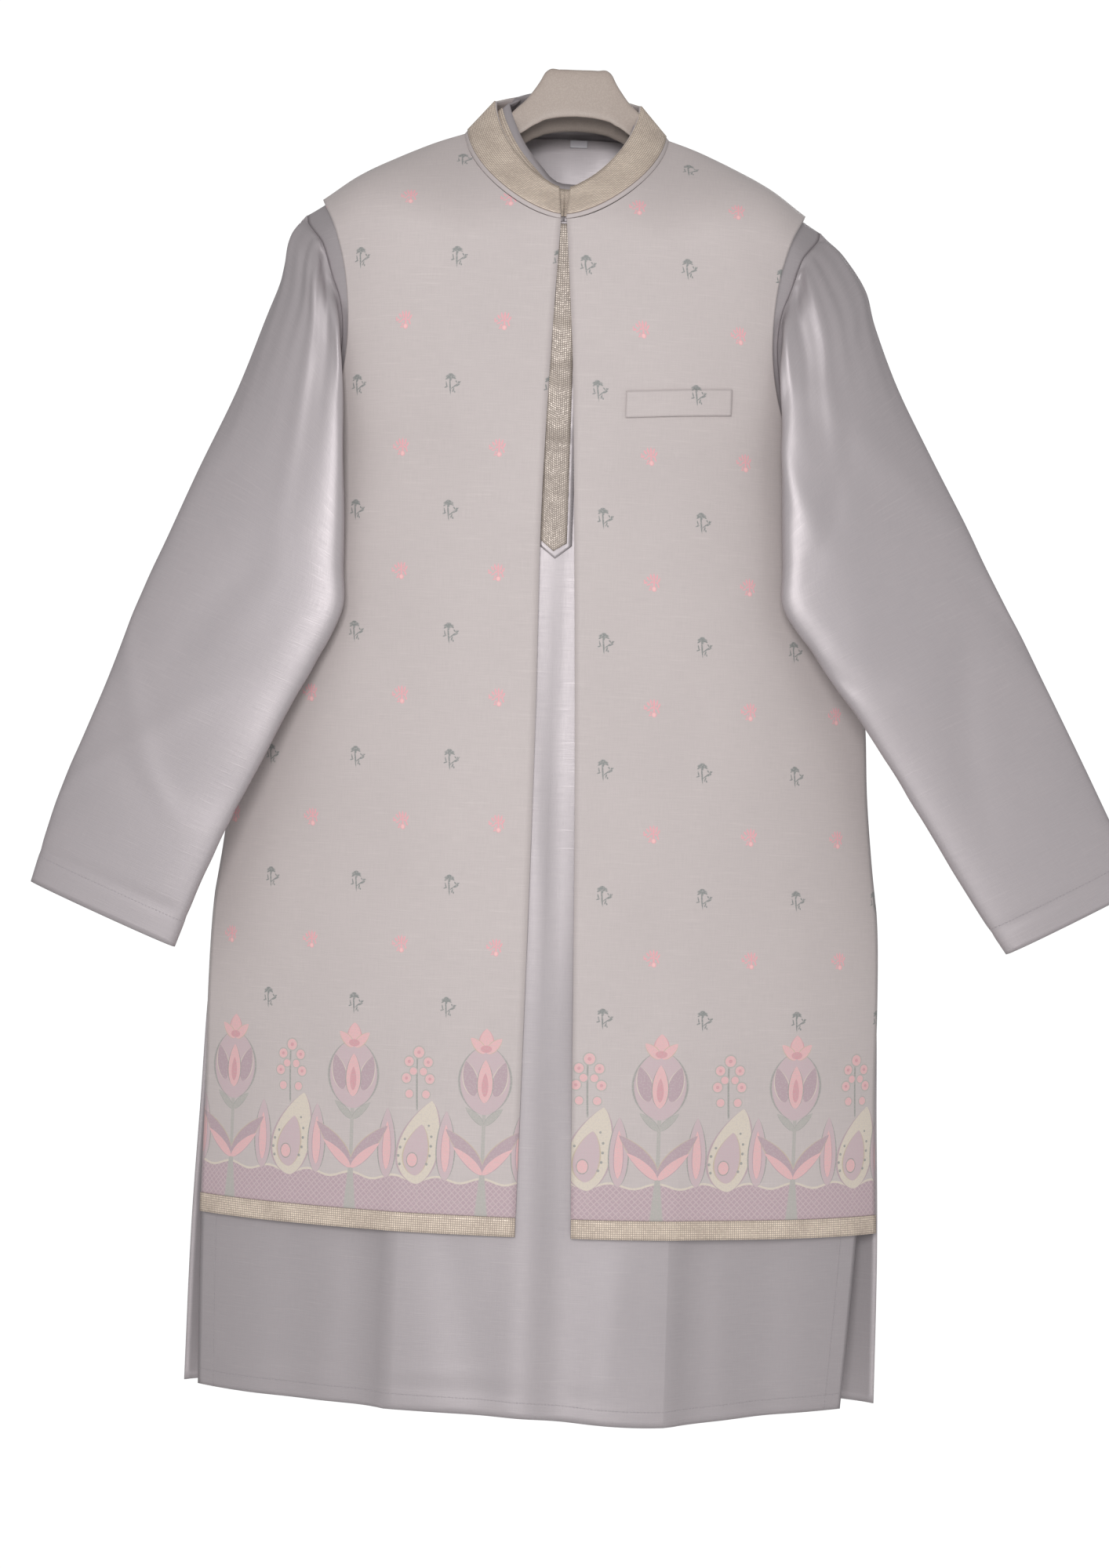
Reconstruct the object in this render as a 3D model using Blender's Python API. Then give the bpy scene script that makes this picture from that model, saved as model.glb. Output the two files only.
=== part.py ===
"""A long-sleeved kurta under a long sleeveless open jacket, both on a moulded hanger.

The cloth pieces are walls made the way the garment is cut: fronts, backs, sleeves, band
collars, a placket, tapes, a pocket welt and a neck label, all hung on one moulded hanger.
The part's frame: origin at the middle of the hanger's top, +Z up, the front faces -Y.
Right and left in the names are the wearer's, so the right side lies at -X.
Sizes below are millimetres, and "down" is measured down from the origin.
"""

import bpy
import bmesh
import numpy as np

for thing in list(bpy.data.objects):
    bpy.data.objects.remove(thing)

# Walls and layers
KURTA_WALL = 1.2
JACKET_WALL = 1.6
COLLAR_WALL = 2.2
TAPE_WALL = 1.0
SEAM = 0.35            # clear space between two pieces that are sewn together
LAYER = 5.0            # the jacket's middle surface lies this far outside the kurta's

# Whole garment
KURTA_HEM = 1145.0     # down to the kurta's hem
JACKET_HEM = 996.0     # down to the jacket's hem
NECK_POINT = (84.8, 88.0)       # half width of the neckline, kurta and jacket
FRONT_NECK = (145.2, 143.5)     # down to the front of the neckline, kurta and jacket
BACK_NECK = (46.2, 45.0)        # down to the back of the neckline, kurta and jacket
BACK_NECK_DEPTH = (53.0, 58.0)  # how far behind the shoulder line it lies
NECK_POWER = 1.65      # below 2 makes the round neckline slightly pointed
KURTA_COLLAR = 44.0    # slant height; it shows above the jacket's collar
HEM_TAPE = 16.0        # height of the tape above the jacket's hem
GARMENT_X = -3.3       # the garment hangs this far to the side of the hanger's middle
TOP_SKEW = -5.0        # and its shoulders a little farther

NECK_COLUMNS = np.array([0.0, 0.25, 0.5, 0.7, 0.85, 0.95, 1.0])   # shares of its half width

# Placket
PLACKET_SIDES = (-16.5, 11.5)
PLACKET_TAPE_SIDES = (-15.0, 7.0)
PLACKET_END = (418.0, 429.0)    # down to the corners and to the point

# Pocket welt on the jacket's left front
WELT_ACROSS = (52.5, 141.5)
WELT_DOWN = (287.0, 280.5, 22.0)   # top at the inner end, at the outer end, and height


def rows(names, *values):
    """Return a small table as one array for each named column."""
    return dict(zip(names.split(), np.array(values, dtype=float).T))


# Half width and depth of the kurta's body, from shoulder to hem
BODY = rows("down width front back",
            (40, 222, 66, 46),
            (133, 222, 70, 50),
            (240, 226, 73, 50),
            (335, 231, 76, 50),
            (450, 254, 78, 50),
            (560, 267, 79, 50),
            (620, 270, 80, 50),
            (680, 276, 80, 51),
            (740, 284, 81, 52),
            (800, 289, 82, 53),
            (900, 293, 83, 54),
            (1000, 297, 86, 55),
            (1160, 299, 92, 58))

# Shoulder line, and how the cloth rolls over it to the front and back
SHOULDER = rows("across down roll slant",
                (0, 36, 112, 1.0),
                (50, 49, 108, 1.0),
                (81, 60.5, 102, 1.0),
                (113, 71.5, 84, 0.75),
                (147, 87.5, 62, 0.3),
                (178, 104.5, 48, 0.0),
                (209, 125.5, 42, 0.0),
                (222, 133, 40, 0.0))

# Armhole edges: half width of the kurta's and the jacket's panels at each height
KURTA_ARMHOLE = rows("down across",
                     (133, 222), (140, 220.5), (150, 214), (160, 206.5), (172, 201.5),
                     (190, 196), (210, 188.5), (235, 185), (260, 186.5), (285, 191.5),
                     (305, 199), (320, 209), (330, 221), (335, 231))
JACKET_ARMHOLE = rows("down across",
                      (119, 209), (130, 204), (140, 199), (150, 194.5), (165, 189.5),
                      (180, 185.5), (205, 181.5), (230, 180), (255, 181), (275, 184),
                      (300, 191), (325, 203), (344, 222), (352, 239))

# Side slits: how far each front panel's edge stands in from the side
KURTA_SLIT = rows("down right left", (770, 0, 0), (1000, 9, 20), (1160, 14, 33))
JACKET_SLIT = rows("down right left", (720, 0, 0), (850, 8, 7), (1000, 14, 8))

# Front edges of the open jacket
JACKET_OPENING = rows("down right left",
                      (143, -7, -2.4), (250, -11.5, 6), (383, -15, 12),
                      (552, -14, 18.6), (992, -16, 30.4))

# Pressed folds and soft rolls of the kurta's front below the waist
FOLDS = rows("across width height start",
             (-122, 16, 5.0, 780),
             (117, 15, 5.5, 780),
             (-8, 20, 3.0, 560),
             (30, 26, -3.0, 560),
             (200, 22, -3.5, 820),
             (-205, 24, -3.0, 840))

# Sleeves, from the top to the cuff: outer and inner edges as they hang in front view,
# their depths, and half the sleeve's thickness
RIGHT_SLEEVE = rows("outer outer_down inner inner_down outer_y inner_y half own",
                    (241, 155, 190, 289, -4, -54, 38, 0.14),
                    (246, 190, 185.5, 320, -8, -56, 34, 0.28),
                    (258, 226, 183.5, 352, -12, -60, 30, 0.45),
                    (280, 290, 181, 394, -18, -64, 24, 0.66),
                    (309, 358, 180, 437, -25, -68, 19, 0.86),
                    (333, 418, 179, 477, -32, -72, 16, 1.0),
                    (349, 456, 197, 516, -34, -72, 15, 1.0),
                    (364, 497, 218, 555, -35, -71, 14, 1.0),
                    (380, 543, 239, 599, -36, -70, 14, 1.0),
                    (398, 590, 262, 645, -38, -68, 13, 1.0),
                    (411, 623, 277, 677, -39, -67, 13, 1.0),
                    (424, 664, 293.5, 716, -40, -65, 13, 1.0),
                    (438, 716, 312, 766, -42, -62, 13, 1.0))
LEFT_SLEEVE = rows("outer outer_down inner inner_down outer_y inner_y half own",
                   (238, 154, 184, 289, -4, -54, 38, 0.14),
                   (257, 183, 185, 318, -8, -56, 34, 0.28),
                   (266, 216, 186, 348, -12, -60, 30, 0.45),
                   (286, 268, 187.5, 386, -18, -64, 24, 0.66),
                   (315, 325, 189, 425, -25, -68, 19, 0.86),
                   (346, 383, 190.5, 464, -32, -72, 16, 1.0),
                   (364, 419, 215, 497, -34, -72, 15, 1.0),
                   (383.5, 455, 239, 530, -35, -71, 14, 1.0),
                   (400, 484, 260, 557, -36, -70, 14, 1.0),
                   (423, 528.5, 289, 598.5, -38, -68, 13, 1.0),
                   (454.7, 589.6, 327, 656, -39, -66, 13, 1.0),
                   (484.5, 648, 363, 711, -41, -64, 13, 1.0),
                   (506, 688, 390, 748, -42, -62, 13, 1.0))

# Hanger sections, from its middle to the end of an arm
HANGER = rows("across top bottom depth",
              (0, 0, 46, 17),
              (16, 0, 47.2, 17),
              (24, 0.6, 48.8, 16.5),
              (28.5, 4, 50, 16),
              (32, 11, 51.5, 14),
              (38, 22, 54, 10),
              (45.5, 36.5, 58.5, 7.5),
              (52, 48, 62.5, 7),
              (60, 57.5, 69, 9),
              (74, 69, 82, 10),
              (88, 76, 93, 10),
              (115, 83, 106, 13),
              (145, 95, 121, 16),
              (175, 110.5, 136, 15),
              (194, 123, 145, 11),
              (202, 130, 143, 6))

COLOURS = dict(kurta=(0.42, 0.40, 0.42), jacket=(0.57, 0.52, 0.52), tape=(0.60, 0.50, 0.42),
               hanger=(0.44, 0.37, 0.33), label=(0.55, 0.53, 0.54))


def curve(table, name, at, key="down"):
    """Return a smooth (Hermite) curve through one column of a table."""
    x, y = table[key], table[name]
    slope = np.gradient(y, x)
    at = np.asarray(at, dtype=float)
    i = np.clip(np.searchsorted(x, at) - 1, 0, len(x) - 2)
    h = x[i + 1] - x[i]
    t = np.clip((at - x[i]) / h, 0, 1)
    return ((2 * t**3 - 3 * t**2 + 1) * y[i] + (t**3 - 2 * t**2 + t) * h * slope[i]
            + (3 * t**2 - 2 * t**3) * y[i + 1] + (t**3 - t**2) * h * slope[i + 1])


def ease(t):
    """Return 0 to 1 with flat ends."""
    t = np.clip(t, 0, 1)
    return t * t * (3 - 2 * t)


def skew(down):
    """Return how far the garment's middle lies to the side at each height."""
    return TOP_SKEW * (1 - ease((down - 130) / 570))


def shoulder_down(across, layer):
    """Return the shoulder line's height for the kurta (0) or the jacket (1)."""
    return curve(SHOULDER, "down", np.abs(across), "across") - 1.12 * LAYER * layer


def body_depth(x, down, layer, side):
    """Return y of a body surface at (x, down) for side "front" or "back".

    The section is a lens with its points at the side seams, and above it the cloth
    rolls over the shoulder line. The jacket's surface is the kurta's, moved out.
    """
    across = np.abs(x)
    width = curve(BODY, "width", down) + LAYER * layer
    deep = curve(BODY, side, down) + LAYER * layer
    full = np.interp(down, [150, 335], [1, 0])
    lens = (1 - np.clip(across / width, 0, 1) ** (2.2 + 2.4 * full)) ** (0.8 - 0.2 * full)
    roll = curve(SHOULDER, "roll", across, "across") + LAYER * layer
    slant = curve(SHOULDER, "slant", across, "across")
    top = shoulder_down(across, layer)
    start = np.zeros_like(across)
    if side == "back":
        part = np.clip(across / NECK_POINT[layer], 0, 1)
        start = BACK_NECK_DEPTH[layer] * np.sqrt(1 - part**2)
        top = np.where(part < 1, back_neck_down(x, layer), top)
        roll = 0.62 * roll
    t = np.clip((down - top) / roll, 0, 1)
    over = (1 - slant) * np.sqrt(1 - (1 - t) ** 2) + slant * np.sin(t * np.pi / 2)
    y = start + (deep * lens - start) * over
    if side == "front":
        reach = 0.45 if layer else 1.0
        for a, w, h, s in zip(*[FOLDS[k] for k in ("across", "width", "height", "start")]):
            grow = ease((down - s) / 330)
            y = y + reach * h * grow * np.exp(-((x - a) / w) ** 2) * np.sqrt(lens)
    return -y if side == "front" else y


def front_neck_down(x, layer):
    """Return the front neckline's height: a slightly pointed half ellipse."""
    part = np.clip(np.abs(x) / NECK_POINT[layer], 0, 1)
    side = shoulder_down(NECK_POINT[layer], layer)
    return side + (FRONT_NECK[layer] - side) * (1 - part**NECK_POWER) ** (1 / NECK_POWER)


def back_neck_down(x, layer):
    """Return the back neckline's height."""
    part = np.clip(np.abs(x) / NECK_POINT[layer], 0, 1)
    side = shoulder_down(NECK_POINT[layer], layer)
    return side + (BACK_NECK[layer] - side) * (1 - part**2.4) ** 0.8


def edge_across(down, layer, slit):
    """Return the half width of a panel: armhole above, side seam and slit below."""
    armhole = (KURTA_ARMHOLE, JACKET_ARMHOLE)[layer]
    tip, under = armhole["down"][0], armhole["down"][-1]
    seam = curve(BODY, "width", down) + LAYER * layer
    cut = curve(armhole, "across", np.clip(down, tip, under))
    edge = np.where(down < under, cut, seam)
    return edge - slit(down)


def panel(layer, side, columns, slits, spread, rows_down, hem_extra=None):
    """Return the middle surface of a front or back panel as a grid of points.

    columns run from -1 to 1 across the panel, rows_down are the heights' shares.
    """
    tip = ((222.0, 133.0), (209.0, 119.0))[layer]
    hem = (KURTA_HEM, JACKET_HEM)[layer]
    neck = (front_neck_down, back_neck_down)[side == "back"]
    c = np.asarray(columns)
    x_top = c * tip[0]
    inside = np.abs(x_top) < NECK_POINT[layer]
    top = np.where(inside, neck(x_top, layer), shoulder_down(x_top, layer))
    roll = curve(SHOULDER, "roll", np.abs(x_top), "across") * (0.62 if side == "back" else 1)
    part = np.clip(np.abs(x_top) / NECK_POINT[layer], 0, 1)
    if side == "front":
        roll = 30 + (roll - 30) * part**3
    turn = 1 - np.cos(np.radians(np.array([0.0, 15, 30, 45, 60, 75, 90])))
    down_top = top + turn[:, None] * roll
    share = np.asarray(rows_down)[:, None]
    low = hem - HEM_TAPE if layer else hem - 14
    down_low = down_top[-1] + share * (low - down_top[-1])
    last = np.full((1, len(c)), hem, dtype=float)
    if hem_extra is not None:
        last = last + hem_extra(c)
    down = np.vstack([down_top, down_low, last])
    base = np.maximum(curve(BODY, "width", down) + LAYER * layer, tip[0])
    base = np.where(down < 335, tip[0] + (base - tip[0]) * ease((down - 133) / 202), base)
    slit = np.where(c < 0, slits[0](down), slits[1](down))
    edge = edge_across(down, layer, lambda d: 0 * d) - slit
    x = c * base + np.sign(c) * np.abs(c) ** spread * (edge - base)
    y = body_depth(x, down, layer, side)
    sign = -1 if side == "front" else 1
    y = sign * np.maximum(np.abs(y), SEAM / 2 + 0.02)
    return np.stack([x + skew(down), y, -down], axis=-1)


def normals(grid, closed=False):
    """Return unit normals of a grid; on the seam between front and back they lie in it."""
    if closed:
        across = np.roll(grid, -1, axis=1) - np.roll(grid, 1, axis=1)
    else:
        across = np.gradient(grid, axis=1)
    n = np.cross(np.gradient(grid, axis=0), across)
    if closed:
        n[0] = n[1]
    else:
        n[:, :, 1] = np.where(np.abs(grid[:, :, 1]) < 0.5, 0.0, n[:, :, 1])
    return n / np.maximum(np.linalg.norm(n, axis=2, keepdims=True), 1e-9)


def material(name, colour):
    """Return a new plain material."""
    made = bpy.data.materials.new(name)
    made.use_nodes = True
    shader = made.node_tree.nodes["Principled BSDF"]
    shader.inputs["Base Color"].default_value = (*colour, 1)
    shader.inputs["Roughness"].default_value = 0.6
    return made


def body(name, points, faces, colour, shift=GARMENT_X):
    """Make one closed object from points in millimetres, with its faces turned out."""
    points = (np.asarray(points).reshape(-1, 3) + [shift, 0, 0]) * 0.001
    mesh = bpy.data.meshes.new(name)
    mesh.from_pydata(points.tolist(), [], faces)
    mesh.materials.append(material(name, colour))
    bm = bmesh.new()
    bm.from_mesh(mesh)
    bmesh.ops.triangulate(bm, faces=bm.faces)
    bmesh.ops.recalc_face_normals(bm, faces=bm.faces)
    if bm.calc_volume(signed=True) < 0:
        bmesh.ops.reverse_faces(bm, faces=bm.faces)
    bm.to_mesh(mesh)
    bm.free()
    mesh.shade_smooth()
    mesh.set_sharp_from_angle(angle=np.radians(40))
    made = bpy.data.objects.new(name, mesh)
    bpy.context.scene.collection.objects.link(made)
    return made


def wall(name, middle, thick, colour, closed=False):
    """Make a closed wall: a grid moved half the thickness to each side, and its rims."""
    n = normals(middle, closed)
    points = np.stack([middle + n * thick / 2, middle - n * thick / 2])
    r, c = middle.shape[:2]
    index = np.arange(2 * r * c).reshape(2, r, c)
    if closed:
        index = np.concatenate([index, index[:, :, :1]], axis=2)
    faces = []

    def strip(a, b):
        for k in range(len(a) - 1):
            faces.append((int(a[k]), int(a[k + 1]), int(b[k + 1]), int(b[k])))

    for i in range(r - 1):
        strip(index[0, i], index[0, i + 1])
        strip(index[1, i + 1], index[1, i])
    strip(index[1, 0], index[0, 0])
    strip(index[0, -1], index[1, -1])
    if not closed:
        strip(index[0, :, 0], index[1, :, 0])
        strip(index[1, :, -1], index[0, :, -1])
    return body(name, points, faces, colour)


def moved_out(grid, distance, outward):
    """Return a grid moved along its normals, towards the side that outward names."""
    n = normals(grid)
    if np.sum(n * outward) < 0:
        n = -n
    return grid + n * distance


def closed_side(down):
    """Return no slit at any height."""
    return 0 * down


def slit_of(table, side):
    """Return a function for the slit's width on one side."""
    return lambda down: np.where(down > table["down"][0], curve(table, side, down), 0.0)


def collar_curves(layer, t):
    """Return the bottom edge of a band collar and its slant, for t from -1 to 1.

    t = 0 is the back of the neck and both ends are at the front. The bottom edge is
    the neckline itself and the top edge leans in.
    """
    angle = np.pi * t
    half = NECK_POINT[layer]
    behind = np.abs(t) < 0.5
    part = np.where(behind, np.abs(np.sin(angle)),
                    np.abs(np.sin(angle)) ** (2 / NECK_POWER))
    x = half * part * np.sign(t)
    at = half * NECK_COLUMNS
    front_down, back_down = front_neck_down(at, layer), back_neck_down(at, layer)
    front_y = body_depth(at, front_down, layer, "front")
    back_y = body_depth(at, back_down, layer, "back")
    down = np.where(behind, np.interp(np.abs(x), at, back_down),
                    np.interp(np.abs(x), at, front_down))
    y = np.where(behind, np.interp(np.abs(x), at, back_y), np.interp(np.abs(x), at, front_y))
    side = shoulder_down(half, layer)
    rise = np.where(behind, (side - down) / (side - BACK_NECK[layer]),
                    (down - side) / (FRONT_NECK[layer] - side))
    top_side, top_front, top_back = 28.0, 112.5, 9.5
    top_down = top_side + np.where(behind, top_back - top_side, top_front - top_side) * rise
    lean = 0.705
    top_x = lean * x
    near = np.clip(1 - np.abs(x) / 22, 0, 1) * (np.abs(t) > 0.5)
    top_x = top_x + np.sign(t) * 3.5 * near
    bottom = np.stack([x, y, -down], axis=-1)
    return bottom, np.stack([top_x, lean * y, -top_down], axis=-1) - bottom


def collar(layer, low, high, ends, count=34):
    """Return a collar's middle surface, low above its seam and high below its top."""
    reach = np.linspace(-1, 1, count)
    t = np.sign(reach) * np.abs(reach) ** 0.9 * ends
    bottom, slant = collar_curves(layer, t)
    if layer == 0:
        slant = collar_curves(1, t)[1]
    long = np.linalg.norm(slant, axis=1, keepdims=True)
    unit = slant / long
    tall = long + (0.0 if layer else KURTA_COLLAR - 38) - high
    rise = np.linspace(0, 1, 3)[:, None, None]
    grid = bottom + unit * (low + rise * (tall - low))
    return grid + np.array([TOP_SKEW, 0, 0])


def sleeve(table, sign, front_edge, back_edge):
    """Return a sleeve's middle surface: rings from the armhole seam to the cuff.

    The first ring is the armhole edge of both kurta panels. The cloth from the front
    of the armhole becomes the inner fold, and the underarm lies behind it.
    """
    count = 30
    t = np.arange(count) / count
    around = np.interp(t, [0, 0.5, 0.68, 1], [0, 0.311, 0.5, 1])
    down = 234 - 101 * np.cos(2 * np.pi * around)
    x, y = [np.where(around <= 0.5, np.interp(down, -front_edge[:, 2], front_edge[:, k]),
                     np.interp(down, -back_edge[:, 2], back_edge[:, k])) for k in (0, 1)]
    y = np.where(np.abs(y) < 0.3, 0.0, y)
    lift = np.radians(0.8 * np.clip(down - 235, 0, 100))
    clear = 3.6 * SEAM
    first = np.stack([x + sign * clear * np.cos(lift), y, -down + clear * np.sin(lift)], axis=-1)
    fore = np.exp(-((t - 0.45) / 0.14) ** 2)
    under = np.exp(-((t - 0.745) / 0.04) ** 2)
    step = np.stack([sign * (7 - 4 * fore + 9 * under), -7 * fore, -2 + 3 * fore], axis=-1)
    start = first + step
    for _ in range(3):
        mean = (np.roll(start, 1, 0) + np.roll(start, -1, 0)) / 2
        start = start + np.exp(-((t - 0.71) / 0.07) ** 2)[:, None] * (mean - start) * 0.3
    rings = [first, start]
    c, s = np.cos(2 * np.pi * t), np.sin(2 * np.pi * t)
    names = "outer outer_down inner inner_down outer_y inner_y half own".split()
    for o, od, i, idn, oy, iy, half, own in zip(*[table[k] for k in names]):
        top = np.array([sign * o, oy, -od])
        low = np.array([sign * i, iy, -idn])
        u = (top - low) / 2
        thin = np.array([0.0, -half, 0.0])
        thin = thin - u * (thin @ u) / (u @ u)
        round_s = np.sign(s) * np.abs(s) ** 0.8
        flat = (top + low) / 2 + c[:, None] * u + round_s[:, None] * thin
        ring = (1 - own) * start + own * flat
        ring = ring + (top - ring[0]) * (1 + c[:, None]) / 2
        ring = ring + (low - ring[count // 2]) * (1 - c[:, None]) / 2
        forward = np.exp(-((t - 0.6) / 0.09) ** 2) * 16 * np.exp(-((own - 0.2) / 0.35) ** 2)
        ring[:, 1] -= forward
        aside = np.exp(-((t - 0.74) / 0.16) ** 2) * 30 * np.exp(-((own - 0.25) / 0.25) ** 2)
        ring[:, 0] += sign * aside
        rings.append(keep_clear(ring, sign, t))
    rings = np.array(rings)
    behind = np.exp(-((t - 0.76) / 0.13) ** 2)[None, :, None]
    for _ in range(6):
        mean = (rings[:-2] + rings[2:]) / 4 + (np.roll(rings, 1, 1) + np.roll(rings, -1, 1))[1:-1] / 4
        rings[2:8] += (behind * (mean - rings[1:-1]))[1:7]
        for k in range(2, 8):
            rings[k] = keep_clear(rings[k], sign, t)
    return rings


def keep_clear(ring, sign, t):
    """Move a ring's points clear of the jacket: its front half forward, the rest aside."""
    down = -ring[:, 2]
    x = ring[:, 0] - skew(down)
    across = np.abs(x)
    clear = JACKET_WALL / 2 + KURTA_WALL / 2 + 2.0
    width = curve(BODY, "width", down) + LAYER
    under = JACKET_ARMHOLE["down"][-1]
    cut = curve(JACKET_ARMHOLE, "across", np.clip(down, 119, under))
    inside = (x * sign > 0) & ((down > under - 8) | (across < cut + 4)) & (t < 0.7)
    limit = body_depth(np.minimum(across, width) * sign, down, 1, "front") - clear
    limit = limit + np.clip(across - width, 0, 60) * 2.0
    ring[:, 1] = np.where(inside, np.minimum(ring[:, 1], limit), ring[:, 1])
    beside = (t >= 0.7) & (down > 322)
    least = width + clear - 24 * (1 - ease((down - 322) / 22))
    ring[:, 0] = np.where(beside, sign * np.maximum(across, least) + skew(down), ring[:, 0])
    return ring


def strip_on_front(layer, x_sides, down_lists, distance, count=3):
    """Return a grid that lies on a front panel, moved out by the distance."""
    share = np.linspace(0, 1, count)
    down = down_lists[0][:, None] + (down_lists[1] - down_lists[0])[:, None] * share
    x = x_sides[0] + (x_sides[1] - x_sides[0]) * share[None, :] + 0 * down
    inner = x - skew(down)
    y = body_depth(inner, down, layer, "front")
    grid = np.stack([x, y, -down], axis=-1)
    return moved_out(grid, distance, np.array([0, -1, 0]))


def hanger_grid():
    """Return the hanger's sections, each a rounded shape that is narrower on top."""
    across = HANGER["across"]
    full = np.concatenate([-across[:0:-1], across])
    count = 20
    a = np.arange(count) / count * 2 * np.pi
    ca, sa = np.cos(a), np.sin(a)
    grid = []
    for x in full:
        k = int(np.argmin(np.abs(across - abs(x))))
        top, bottom, deep = HANGER["top"][k], HANGER["bottom"][k], HANGER["depth"][k]
        middle, half = (top + bottom) / 2, (bottom - top) / 2
        power = 0.62 + 0.3 * ease((abs(x) - 30) / 40)
        square_c = np.sign(ca) * np.abs(ca) ** power
        square_s = np.sign(sa) * np.abs(sa) ** power
        narrow = 1 - 0.14 * (square_c + 1) * np.clip(half / 23, 0, 1)
        grid.append(np.stack([np.full(count, x), deep * narrow * square_s,
                              -middle + half * square_c], axis=-1))
    return np.array(grid)


def solid_loft(name, grid, colour, shift):
    """Make a closed solid through rings, with a fan at each end."""
    r, c = grid.shape[:2]
    faces = []
    for i in range(r - 1):
        for j in range(c):
            k = (j + 1) % c
            faces.append((i * c + j, i * c + k, (i + 1) * c + k, (i + 1) * c + j))
    faces.append(tuple(range(c)))
    faces.append(tuple((r - 1) * c + j for j in range(c)))
    return body(name, grid, faces, colour, shift)


# Hanger
solid_loft("hanger", hanger_grid(), COLOURS["hanger"], 0.0)

# Kurta front and back: columns across, rows down
neck_share = NECK_POINT[0] / 222.0
neck_columns = neck_share * NECK_COLUMNS
side_columns = np.array([0.47, 0.58, 0.69, 0.79, 0.88, 0.95, 1.0])
half_columns = np.concatenate([neck_columns, side_columns])
kurta_columns = np.concatenate([-half_columns[:0:-1], half_columns])
kurta_rows = [0.035, 0.07, 0.1, 0.125, 0.145, 0.158, 0.168, 0.2, 0.28, 0.4, 0.52, 0.64,
              0.76, 0.88, 1.0]
kurta_front = panel(0, "front", kurta_columns,
                    (slit_of(KURTA_SLIT, "right"), slit_of(KURTA_SLIT, "left")), 3.6, kurta_rows,
                    lambda c: 8 * np.exp(-((c - 0.34) / 0.3) ** 2))
wall("kurta_front", kurta_front, KURTA_WALL, COLOURS["kurta"])
kurta_back = panel(0, "back", kurta_columns, (closed_side, closed_side), 3.6, kurta_rows)
wall("kurta_back", kurta_back, KURTA_WALL, COLOURS["kurta"])

# Sleeves
right = sleeve(RIGHT_SLEEVE, -1, kurta_front[:, 0], kurta_back[:, 0])
wall("kurta_sleeve_right", right, KURTA_WALL, COLOURS["kurta"], True)
left = sleeve(LEFT_SLEEVE, 1, kurta_front[:, -1], kurta_back[:, -1])
wall("kurta_sleeve_left", left, KURTA_WALL, COLOURS["kurta"], True)

# Band collars, each with its tape on the outer face
for layer, owner, low, tape_low, tape_high in ((0, "kurta", 1.5, 5.0, 5.5),
                                               (1, "jacket", 1.6, 4.8, 0.0)):
    band = collar(layer, low, 0.0, 0.985)
    wall(owner + "_collar", band, COLLAR_WALL, COLOURS[owner])
    lie = collar(layer, tape_low, tape_high, 0.982)
    n = normals(lie)
    away = np.array([1.0, 1.0, 0.0]) * lie
    if np.sum(n * away) < 0:
        n = -n
    lie = lie + n * (COLLAR_WALL / 2 + SEAM + TAPE_WALL / 2)
    wall(owner + "_collar_tape", lie, TAPE_WALL, COLOURS["tape"])

# Placket and its tape, laid on the kurta's front and ending in a point
steps = np.linspace(0, 1, 12)
top = FRONT_NECK[0] + 2.0
side_down = top + steps * (PLACKET_END[0] - top)
lie = strip_on_front(0, PLACKET_SIDES, (side_down, side_down),
                     KURTA_WALL / 2 + SEAM + TAPE_WALL / 2)
point = lie[-1:].copy()
point[0, 1, 2] = -PLACKET_END[1]
wall("kurta_placket", np.concatenate([lie, point + [0, 0, -0.5]]), TAPE_WALL, COLOURS["kurta"])
tape_down = top + steps * (PLACKET_END[0] - 4 - top)
lie = strip_on_front(0, PLACKET_TAPE_SIDES, (tape_down, tape_down),
                     KURTA_WALL / 2 + 2 * SEAM + 1.5 * TAPE_WALL)
wall("kurta_placket_tape", lie, TAPE_WALL, COLOURS["tape"])

# Neck label inside the kurta's back
label_x = np.linspace(0.0, 13.0, 3)
label_down = np.linspace(50.0, 58.0, 4)
gx, gd = np.meshgrid(label_x, label_down)
label = np.stack([gx, body_depth(gx, gd, 0, "back"), -gd], axis=-1)
label = moved_out(label, KURTA_WALL / 2 + SEAM + 1.2, np.array([0, -1, 0]))
wall("kurta_neck_label", label, 1.0, COLOURS["label"])

# Jacket fronts: the columns run from the front edge to the side
jacket_rows = [0.04, 0.08, 0.115, 0.145, 0.17, 0.19, 0.205, 0.25, 0.36, 0.5, 0.65, 0.82, 1.0]


def jacket_front(sign, side):
    """Return the middle surface of one jacket front, from its front edge to the side."""
    share = np.concatenate([NECK_COLUMNS * 88 / 209,
                            [0.5, 0.61, 0.72, 0.82, 0.9, 0.96, 1.0]])
    slit = slit_of(JACKET_SLIT, side)
    whole = panel(1, "front", share * sign, (slit, slit), 3.6, jacket_rows)
    down = -whole[:, :, 2]
    inner = whole[:, :, 0] - skew(down)
    edge = curve(JACKET_OPENING, side, np.clip(down, 143, 992)) - skew(down)
    near = np.clip(1 - np.abs(inner) / 70, 0, 1)
    x = inner + edge * near
    y = body_depth(x, down, 1, "front")
    y = -np.maximum(np.abs(y), SEAM / 2 + 0.02)
    y = np.where(np.isclose(share, 1.0)[None, :], whole[:, :, 1], y)
    return np.stack([x + skew(down), y, -down], axis=-1)


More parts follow.
